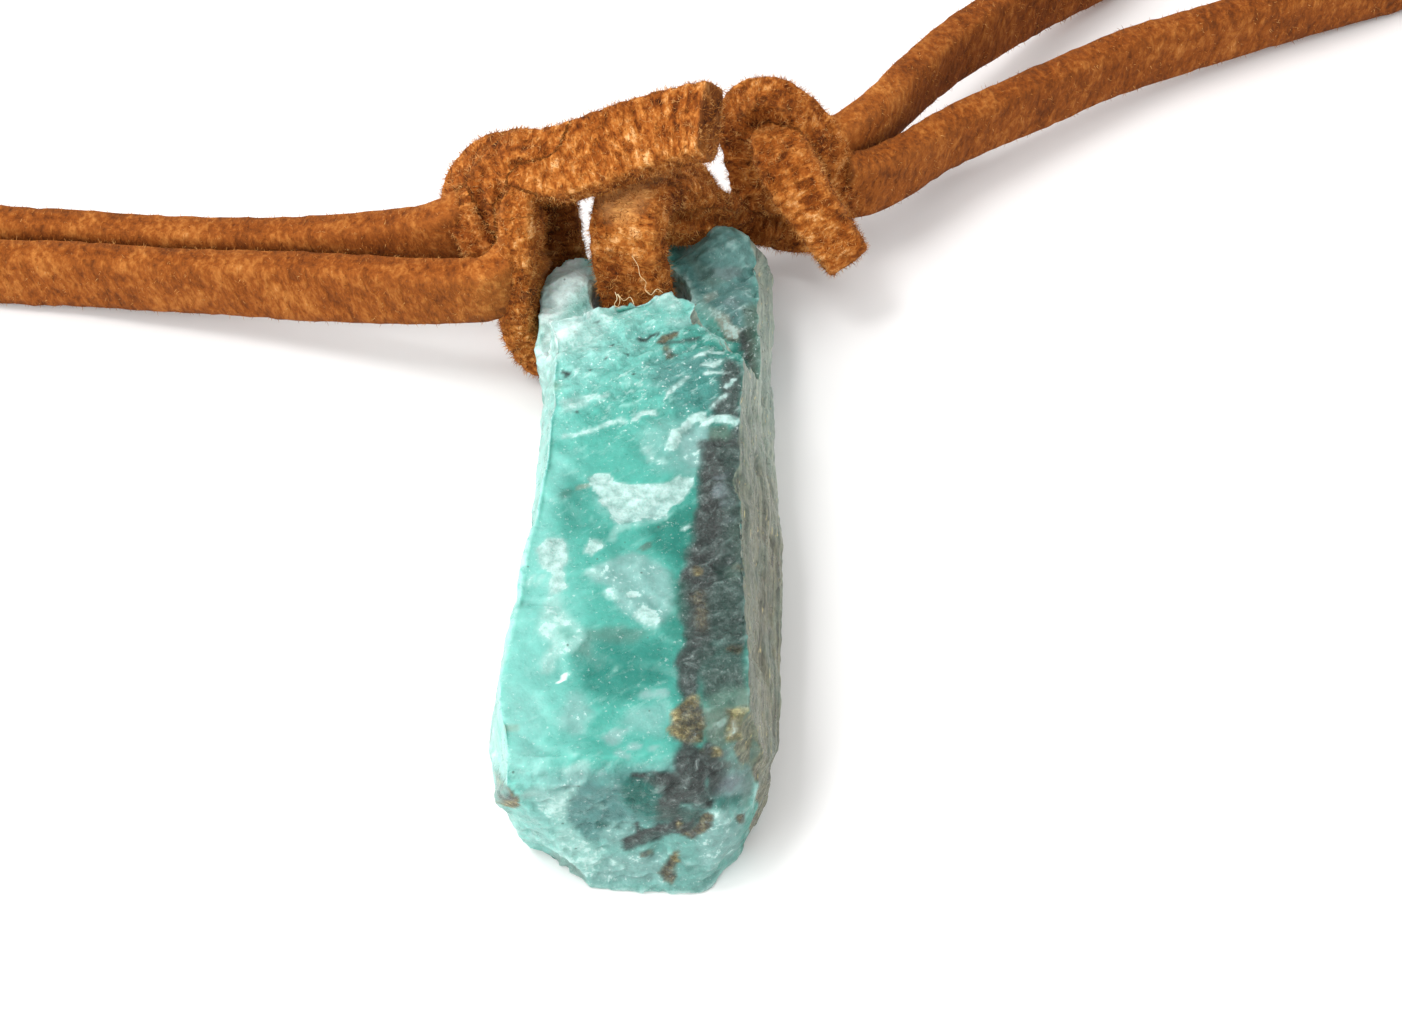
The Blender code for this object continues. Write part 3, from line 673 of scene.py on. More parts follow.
knotWidth = lace["knotWidth"]
tieRoute = [
    ((2.38, 12.59, 11.48), (-0.50, -0.26, 0.82), 3.0),
    ((1.58, 12.83, 11.03), (-0.35, -0.29, 0.89), 3.0),
    ((0.59, 12.90, 10.64), (-0.20, -0.31, 0.93), 3.0),
    ((-0.70, 12.71, 10.24), (-0.08, -0.32, 0.94), 3.0),
    ((-2.15, 12.44, 9.81), (-0.03, -0.35, 0.94), 3.0),
    ((-3.46, 12.32, 9.39), (-0.05, -0.43, 0.90), 2.9),
    ((-4.55, 12.55, 9.10), (-0.25, -0.23, 0.94), 2.6),
    ((-5.51, 13.24, 8.82), (-0.35, 0.25, 0.90), knotWidth),
    ((-6.39, 13.33, 8.17), (-0.65, 0.04, 0.76), knotWidth),
    ((-6.96, 12.84, 7.35), (-0.80, -0.28, 0.53), knotWidth),
    ((-6.94, 12.28, 6.42), (-0.70, -0.68, 0.22), knotWidth),
    ((-6.40, 11.99, 5.53), (-0.36, -0.91, -0.18), knotWidth),
    ((-5.41, 12.37, 5.11), (0.29, -0.69, -0.67), knotWidth),
    ((-4.65, 13.19, 5.26), (0.98, -0.10, -0.18), knotWidth),
    ((-4.72, 13.93, 5.96), (0.80, 0.47, 0.37), knotWidth),
    ((-5.38, 13.70, 6.77), (-0.20, 0.71, 0.68), knotWidth),
    ((-5.84, 12.66, 7.08), (-0.97, 0.03, 0.25), knotWidth),
    ((-5.32, 11.89, 7.57), (-0.94, 0.04, 0.33), 2.2),
    ((-4.90, 11.23, 7.88), (-0.97, 0.16, -0.20), knotWidth),
    ((-4.89, 10.72, 6.91), (-0.97, 0.16, -0.20), 2.4),
    ((-4.99, 10.52, 5.30), (-0.97, 0.16, -0.20), 2.4),
    ((-5.10, 10.40, 3.62), (-0.97, 0.16, -0.20), 2.4),
    ((-4.92, 10.42, 2.17), (-0.93, 0.03, -0.36), 2.4),
    ((-4.37, 10.41, 1.15), (-0.50, 0.04, -0.86), 2.5),
    ((-3.05, 10.35, 0.88), (0.00, 0.00, -1.00), 2.8),
    ((-1.85, 10.30, 0.92), (0.20, 0.00, -0.98), 2.8),
    ((-0.85, 10.28, 1.60), (0.80, -0.25, -0.55), 2.8),
    ((-0.40, 10.30, 2.70), (0.60, -0.80, 0.00), 2.7),
    ((-0.47, 10.27, 3.77), (-0.45, -0.78, 0.43), 2.9),
    ((-0.61, 10.45, 4.86), (-0.50, -0.73, 0.47), 3.0),
    ((-0.75, 10.74, 5.97), (-0.50, -0.69, 0.53), 3.0),
    ((-0.81, 11.10, 6.95), (-0.48, -0.58, 0.66), 3.0),
    ((-0.70, 11.64, 7.50), (-0.42, -0.24, 0.88), 3.0),
    ((-0.32, 12.63, 7.45), (-0.25, 0.00, 0.97), 3.0),
    ((0.36, 13.73, 6.91), (0.05, 0.14, 0.99), 2.9),
    ((1.13, 14.59, 6.06), (0.35, 0.20, 0.92), 2.9),
    ((1.84, 15.17, 5.00), (0.55, 0.12, 0.83), 2.8),
    ((2.28, 15.49, 3.97), (0.48, 0.40, 0.78), 2.5),
    ((2.85, 15.82, 3.09), (0.17, 0.84, 0.52), knotWidth),
    ((3.91, 16.14, 2.45), (0.00, 0.97, -0.23), 2.2),
    ((5.10, 16.25, 2.15), (0.10, 0.30, -0.95), knotWidth),
    ((6.45, 15.80, 1.90), (0.45, -0.60, -0.66), knotWidth),
    ((7.38, 15.81, 2.78), (0.87, -0.37, -0.32), knotWidth),
    ((7.51, 16.08, 3.93), (0.60, -0.54, 0.59), 1.8),
    ((7.12, 16.51, 5.15), (0.57, -0.35, 0.74), 1.7),
    ((6.62, 17.01, 6.05), (0.48, -0.21, 0.85), 1.7),
    ((5.90, 17.46, 6.78), (0.30, -0.08, 0.95), 1.7),
    ((4.86, 17.79, 7.29), (0.06, -0.02, 1.00), 1.7),
    ((3.98, 17.94, 7.03), (-0.36, -0.11, 0.93), 1.7),
    ((3.58, 17.67, 6.18), (-0.60, -0.44, 0.67), 1.7),
    ((3.80, 17.18, 5.20), (-0.60, -0.55, 0.58), 1.6),
    ((4.10, 16.69, 4.21), (-0.52, -0.73, 0.45), 1.8),
    ((4.59, 16.52, 3.40), (-0.41, -0.65, -0.64), knotWidth),
    ((5.69, 16.86, 3.17), (0.53, -0.62, -0.58), knotWidth),
    ((6.26, 17.70, 3.72), (0.99, 0.05, 0.09), knotWidth),
    ((6.01, 18.61, 4.76), (0.70, 0.42, 0.57), knotWidth),
    ((5.30, 18.55, 5.63), (-0.01, 0.38, 0.93), 2.2),
    ((5.08, 17.68, 5.94), (-0.12, -0.01, 0.99), 2.2),
    ((5.17, 16.15, 6.26), (-0.13, -0.39, 0.91), knotWidth),
    ((5.67, 14.86, 6.02), (-0.17, -0.61, 0.78), 2.35),
    ((6.34, 13.98, 5.34), (-0.15, -0.65, 0.75), 2.2),
    ((7.07, 13.42, 4.39), (-0.05, -0.69, 0.72), 2.0),
    ((7.80, 12.94, 3.38), (0.10, -0.69, 0.72), 1.9),
]
# Shorter runs of the same lace: behind the left horn, two wraps of the left knot, and behind the fold
wraps = [
    [((-5.09, 12.89, 8.41), (-0.21, -0.33, 0.92), 2.2),
     ((-4.40, 13.21, 7.52), (0.10, -0.76, 0.64), knotWidth),
     ((-4.12, 13.69, 5.99), (0.00, -1.00, -0.02), 2.4), ((-3.98, 13.61, 4.41), (0.00, -1.00, 0.05), 2.4),
     ((-3.83, 13.48, 2.91), (0.00, -0.99, -0.10), 2.4), ((-3.59, 13.01, 1.53), (0.00, -0.57, -0.82), 2.5),
     ((-3.26, 12.02, 0.88), (0.00, 0.02, -1.00), 2.6), ((-3.03, 10.77, 0.92), (0.00, 0.02, -1.00), 2.7)],
    [((-3.85, 12.76, 9.64), (0.00, -0.13, 0.99), 1.5), ((-4.77, 12.89, 9.56), (-0.20, 0.01, 0.98), 1.5),
     ((-5.52, 12.84, 9.07), (-0.50, -0.04, 0.86), 1.5), ((-6.00, 12.48, 8.28), (-0.75, -0.32, 0.58), 1.6),
     ((-6.04, 12.09, 7.35), (-0.72, -0.62, 0.30), 1.6), ((-5.60, 11.80, 6.42), (-0.54, -0.82, 0.18), 1.6)],
    [((-7.05, 12.22, 7.32), (-0.70, -0.35, 0.62), 1.5), ((-6.79, 11.56, 6.62), (-0.60, -0.69, 0.40), 1.5),
     ((-6.26, 11.10, 5.87), (-0.46, -0.85, 0.25), 1.5), ((-5.57, 11.02, 4.92), (-0.31, -0.93, 0.19), 1.5)],
    [((0.07, 13.53, 5.36), (0.00, -0.13, 0.99), knotWidth), ((1.01, 13.95, 4.80), (0.10, -0.13, 0.99), 2.4),
     ((1.88, 14.76, 4.04), (0.30, -0.10, 0.95), 2.4), ((2.52, 15.71, 3.38), (0.46, 0.03, 0.89), knotWidth)],
]
tieLook = {
    "step": 0.3, "voxel": 0.115, "tufts": 0.085, "nap": 44000, "napReach": (0.12, 0.34),
    "crease": 0.34, "squeezed": (2.32, 2.5),         # widths where a crease starts and ends
    "wrapThinner": 0.2, "hollowRounds": 24, "worn": 0.45,
}
# Painted shade at listed places: centre, radius and amount
tieShades = [
    ((-4.1, 13.6, 5.2), 2.3, 0.95),                            # behind the left horn
    ((-4.1, 13.5, 3.2), 2.0, 0.8),
    ((-0.7, 10.3, 4.4), 2.9, 0.42),                            # foot of the fold
    ((1.0, 14.2, 5.0), 1.6, 0.35), ((1.0, 11.0, 6.2), 1.4, 0.75),
    ((1.1, 11.8, 7.5), 1.2, 0.7),
    ((2.75, 12.6, 11.3), 0.9, 0.6),                            # the cut ends
    ((7.9, 12.6, 3.0), 1.5, 0.55),
    ((4.6, 16.2, 2.4), 2.6, 0.5), ((7.2, 15.9, 2.6), 2.2, 0.55),   # under the right knot
    ((7.4, 16.6, 4.6), 1.6, 0.4), ((-6.2, 12.0, 6.6), 2.2, 0.45),
]
# Painted highlights on the lit top of the fold
tieHighlights = [((-0.9, 11.9, 8.1), 1.5, 1.0), ((-0.2, 13.2, 8.0), 1.3, 0.7)]


def layRun(bm, route, thickness, crease):
    # One run of lace; the crease is pressed in where a knot squeezes it narrow
    places = [Vector(p) for p, n, w in route]
    faces = [Vector(n).normalized() for p, n, w in route]
    sizes = [Vector((w, 0.0, 0.0)) for p, n, w in route]
    amounts = evenAmounts(places, tieLook["step"])[0]
    path = [spline(places, a) for a in amounts]
    flats = [spline(faces, a) for a in amounts]
    widths = [spline(sizes, a).x for a in amounts]
    creases = [crease * (1.0 - smooth(w, *tieLook["squeezed"])) for w in widths]
    sweepLace(bm, path, flats, widths, thickness, lace["corners"], creases)
    return path, flats


def makeTie():
    bm = bmesh.new()
    runs = [layRun(bm, tieRoute, lace["thickness"], tieLook["crease"])]
    runs += [layRun(bm, route, lace["thickness"] - tieLook["wrapThinner"], 0.0) for route in wraps]
    settleLace(bm)
    tie = addObject(bm, "suede_tie")
    voxelRemesh(tie, tieLook["voxel"])
    tie.data.shade_smooth()
    nappedRelief(tie.data, grainField(tie.data, runs), tieLook["tufts"])
    shadeSuede(tie.data, tieShades, tieHighlights, tieLook["hollowRounds"], tieLook["worn"])
    tie.data.materials.append(suede)
    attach(tie, "root")
    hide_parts("tie_lace")
    return tie


# Loose fibres at the foot of the fold
strayFibres = {
    "thick": 0.022, "step": 0.08, "corners": 6, "flat": (0.1, -0.6, 0.8),
    "colours": ((0.35, "#b98d55"), (0.6, "#e6d3a8")),
    "runs": [
        [(-0.63, 9.52, 7.3), (-0.40, 9.06, 7.25), (-0.32, 8.70, 7.1), (-0.09, 8.24, 7.25),
         (-0.12, 7.84, 7.3), (0.07, 7.68, 7.2)],
        [(-1.25, 7.68, 7.3), (-1.17, 7.43, 7.2), (-1.28, 7.23, 7.1), (-1.13, 7.13, 7.1),
         (-1.06, 7.38, 7.25), (-1.18, 7.58, 7.3)],
        [(-1.14, 7.58, 7.3), (-0.91, 7.38, 7.15), (-0.68, 7.48, 7.25), (-0.53, 7.23, 7.1)],
        [(-0.12, 7.78, 7.3), (0.11, 7.63, 7.2), (0.33, 7.84, 7.3), (0.56, 7.73, 7.2)],
    ],
}


def makeStrays():
    bm = bmesh.new()
    for run in strayFibres["runs"]:
        points = [Vector(p) for p in run]
        path = [spline(points, a) for a in evenAmounts(points, strayFibres["step"])[0]]
        thick = strayFibres["thick"]
        flats = [Vector(strayFibres["flat"])] * len(path)
        sweepLace(bm, path, flats, [thick] * len(path), thick, strayFibres["corners"])
    settleLace(bm)
    strays = addObject(bm, "stray_fibres")
    strays.data.shade_smooth()
    mat, tree, shader = newMaterial("pale_fibre")
    pale = rampNode(tree, noiseNode(tree, objectCoords(tree), 1.5), strayFibres["colours"])
    tree.links.new(pale, shader.inputs["Base Color"])
    shader.inputs["Roughness"].default_value = 0.6
    strays.data.materials.append(mat)
    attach(strays, "root")


tie = makeTie()
makeStrays()
makeNap("tie_nap", tie, tieLook["nap"], 11, tieLook["napReach"])
makeNap("neck_nap_one", strandOne, neck["nap"], 12, neck["napReach"])
makeNap("neck_nap_two", strandTwo, neck["nap"], 13, neck["napReach"])
print("tie ready", len(tie.data.polygons))


# Stone

stone = {
    "height": 6.8, "box": (13.0, 36.0), "sink": 0.6, "voxel": 0.115,
    "flare": 0.31, "flareStart": 2.0, "flareEnd": -9.6, "flareCurve": 1.4,
    "taper": 0.35, "taperSpan": (10.5, 13.5), "hornOut": 0.45,
    "reach": 7.0, "past": 18.0, "cutTop": 9.0, "cutBottom": -2.0,    # how far the cutters go
    "breakFloor": ((5.0, 4.55), (17.0, 3.45)), "ledgeHeight": 5.5,
    "hole": (-0.30, 10.30), "holeRadius": 1.95, "holeSides": 64, "holeDepth": 20.0,
    "recessStart": 7.7, "recessSlant": 0.5, "recessHeight": 1.95,
}
crystalFaces = [
    ((3.60, -6.0, 6.80), (0.95, 0.013, 0.312)),      # right side, upper
    ((4.88, 0.0, 3.00), (0.97, 0.0, -0.24)),         # right side, lower
    ((4.25, 0.0, 0.40), (0.70, 0.0, -0.70)),         # right bottom edge
    ((-3.60, 0.0, 6.80), (-0.993, 0.02, 0.12)),      # left side, upper
    ((-4.00, 0.0, 3.50), (-0.985, 0.01, -0.17)),     # left side, lower
    ((-3.50, 0.0, 0.30), (-0.60, 0.0, -0.80)),       # left bottom edge
    ((0.0, 3.6, 6.80), (0.05, 0.11, 1.0)),           # shoulder towards the drilled end
    ((0.0, -13.40, 6.35), (0.0, -0.70, 0.70)),       # front edge of the wide end
    ((0.0, -13.92, 3.50), (0.0, -1.0, 0.08)),        # wide end
    ((-3.95, -12.3, 0.50), (-0.638, -0.77, -0.20)),  # wide end, left
    ((1.96, -14.27, 0.50), (0.669, -0.743, -0.10)),  # wide end, right
    ((4.67, -10.28, 0.50), (0.918, -0.397, -0.10)),  # wide end, right corner
    ((4.35, -11.2, 5.60), (0.62, -0.62, 0.48)),      # wide end, right upper corner
    ((-3.40, 12.5, 3.00), (-0.377, 0.926, 0.0)),     # drilled end, left part
    ((2.40, 15.0, 3.00), (0.69, 0.72, 0.0)),         # drilled end, right part
    ((-3.40, 12.5, 3.00), (-0.87, 0.49, 0.0)),       # drilled end, left corner
]
breakEdge = [
    (-7.0, 5.5), (-4.2, 5.8), (-3.85, 6.4), (-3.4, 7.0), (-2.62, 7.3), (-1.85, 7.8),
    (-0.9, 8.15), (-0.1, 8.35), (0.44, 8.65), (0.9, 8.8), (1.62, 8.4), (2.0, 7.95),
    (2.48, 7.25), (2.85, 6.65), (3.35, 5.85), (7.0, 5.0),
]
ledgeEdge = [(1.7, 7.4), (2.3, 6.4), (3.1, 5.5), (7.0, 3.9), (7.0, 7.2), (3.4, 8.4), (2.0, 8.6)]
hornLumps = [((-3.2, 10.9), 1.5, 0.55), ((2.9, 13.0), 1.7, 0.75), ((3.2, 9.6), 1.5, 0.45)]


def level(height):
    return ((0.0, height), (1.0, height))


def prism(name, outline, floor, ceiling):
    # An upright block over an outline; its floor slopes along y through two (y, z) points
    (y0, z0), (y1, z1) = floor
    bm = bmesh.new()
    base = [bm.verts.new((x * mm, y * mm, (z0 + (z1 - z0) * (y - y0) / (y1 - y0)) * mm))
            for x, y in outline]
    grown = bmesh.ops.extrude_face_region(bm, geom=[bm.faces.new(base)])["geom"]
    for vert in (v for v in grown if isinstance(v, bmesh.types.BMVert)):
        vert.co.z = ceiling * mm
    bmesh.ops.recalc_face_normals(bm, faces=bm.faces)
    return addObject(bm, name)


def cutBy(obj, cutters):
    for cutter in cutters:
        modifier = obj.modifiers.new(cutter.name, "BOOLEAN")
        modifier.operation = "DIFFERENCE"
        modifier.solver = "EXACT"
        modifier.object = cutter
    applyModifiers(obj)
    for cutter in cutters:
        bpy.data.objects.remove(cutter, do_unlink=True)


def makeBlank():
    bm = bmesh.new()
    height = stone["height"] + stone["sink"]
    bmesh.ops.create_cube(bm, size=1.0)
    bmesh.ops.scale(bm, vec=(stone["box"][0] * mm, stone["box"][1] * mm, height * mm),
                    verts=bm.verts)
    bmesh.ops.translate(bm, vec=(0, 0, (height / 2 - stone["sink"]) * mm), verts=bm.verts)
    for point, direction in crystalFaces:
        geom = bm.verts[:] + bm.edges[:] + bm.faces[:]
        cut = bmesh.ops.bisect_plane(bm, geom=geom, dist=1e-7, plane_co=Vector(point) * mm,
                                     plane_no=Vector(direction).normalized(), clear_outer=True)
        edges = [e for e in cut["geom_cut"] if isinstance(e, bmesh.types.BMEdge)]
        bmesh.ops.edgeloop_fill(bm, edges=edges)
    bmesh.ops.recalc_face_normals(bm, faces=bm.faces)
    return addObject(bm, "emerald_crystal")


def terrace(value):
    # Level treads, with a rise over the last part of each millimetre
    tread = math.floor(value)
    return tread + smooth(value - tread, 0.72, 1.0)


def mainRelief(point, normal):
    # The same large unevenness as the solid's
    lift = 0.22 * noise.fractal(point * 0.22 + Vector((3.1, 0.0, 7.7)), 1.0, 2.1, 3)
    tilt = 0.42 * point.y + 0.20 * point.x + 1.6 * noise.noise(point * 0.32)
    lift += 0.17 * abs(normal.z) * (terrace(tilt) - tilt)
    chips = noise.noise(point * 0.70 + Vector((9.0, 2.0, 4.0)))
    lift -= 0.40 * max(chips - 0.15, 0.0)
    ribs = noise.noise(Vector((point.x * 0.5, point.y * 0.06, point.z * 1.1 + 5.0)))
    return lift + 0.22 * abs(normal.x) * ribs


def lumpHeight(x, y):
    return sum(rise * (1.0 - smooth(math.hypot(x - cx, y - cy), 0.2 * radius, radius))
               for (cx, cy), radius, rise in hornLumps)


def shapeStone(mesh):
    places, normals = readPoints(mesh)
    share = np.clip((stone["flareStart"] - places[:, 1])
                    / (stone["flareStart"] - stone["flareEnd"]), 0.0, 1.0) ** stone["flareCurve"]
    share *= 1.0 - stone["taper"] * smoothAll(-places[:, 1], *stone["taperSpan"])
    left = places[:, 0] < 0.0
    places[left, 0] *= 1.0 + stone["flare"] * share[left]
    # The left horn stands out a little
    horn = smoothAll(places[:, 1], 5.5, 7.5) * (1.0 - smoothAll(places[:, 1], 10.8, 12.2))
    places[:, 0] -= stone["hornOut"] * horn * smoothAll(-places[:, 0], 2.4, 3.6)
    lift = np.array([mainRelief(Vector(p), Vector(n)) for p, n in zip(places, normals)])
    places += normals * lift[:, None]
    top = (normals[:, 2] > 0.5) & (places[:, 1] > 8.0)
    places[top, 2] += [lumpHeight(x, y) for x, y in places[top, :2]]
    writePoints(mesh, places)


# Natural marks, laid out on the plane of the front face as they show from the camera's place:
# colour, strength, softness, half width of a line or 0 for an area, and its points
palette = {
    # Two whites stand for light: the near white of painted highlights and the pure white of a painted glint
    "snow": "#eafffb", "white": "#ffffff", "chalk": "#c9e9e3", "frost": "#b9ebe2", "mint": "#9fe0d6",
    "aqua": "#8fdcd0", "teal": "#66c0b1", "deep": "#1f9184", "fern": "#358a7b",
    "lagoon": "#4f9d92", "jade": "#74bfb0", "seaGrey": "#6b9d99", "haze": "#98c6c0",
    "ocean": "#39786f", "harbour": "#52807f", "moss": "#6a887e", "lichen": "#7b9484",
    "fir": "#48645c", "slate": "#59615e", "coal": "#454a48", "ink": "#2a2e2c",
    "umber": "#5a4d39", "brass": "#a2996e", "straw": "#e4e8ba", "bone": "#c2c8b8",
    "sage": "#9aa892", "ash": "#9dabb0",
}
# The gloss and the surroundings add light of their own, so what lies beneath is deeper
depth = {"gloss": 0.050, "share": 0.70, "least": 0.003}
rocky = {"slate": 1.0, "coal": 1.0, "ink": 0.6, "umber": 1.0, "fir": 0.8, "ash": 0.6, "lichen": 0.5,
         "brass": 0.7}
metallic = {"brass": 0.8, "straw": 0.9, "umber": 0.35}
chalky = {"chalk": 1.0, "frost": 0.55, "bone": 0.6, "haze": 0.35}
lens = ("haze", 0.85, 0.15, 0, [(1.1, 0.94), (1.57, 1.54), (2.32, 1.54), (2.27, 0.21), (2.18, -0.32),
    (1.57, -0.32), (1.29, 0.1)])
arc = ("chalk", 0.95, 0.16, 0.1, [(0.87, 0.67), (0.98, 1.12), (1.29, 1.54), (1.66, 1.97), (1.99, 2.12),
    (2.18, 1.72), (2.41, 1.97), (2.79, 1.97), (3.26, 1.88)])
bruise = ("chalk", 0.97, 0.07, 0, [(-2.1, -0.77), (-1.36, -0.66), (-1.16, -1.07), (-0.05, -1.16),
    (0.6, -1.1), (1.06, -0.89), (1.24, -0.72), (1.38, -0.83), (1.66, -0.77), (1.69, -1.13), (1.39, -1.66),
    (0.93, -2.13), (0.84, -2.6), (0.01, -2.6), (-0.45, -2.83), (-0.9, -2.89), (-1.23, -2.48),
    (-1.61, -1.84), (-1.94, -1.42)])
cloud = ("haze", 0.85, 0.22, 0, [(-1.33, -4.61), (-0.52, -4.1), (-0.29, -4.21), (0.49, -4.78),
    (0.94, -5.18), (1.18, -6.03), (0.87, -7.14), (0.51, -7.53), (-0.12, -7.31), (-1.3, -6.31),
    (-1.31, -5.75), (-1.91, -5.46), (-1.87, -4.95)])
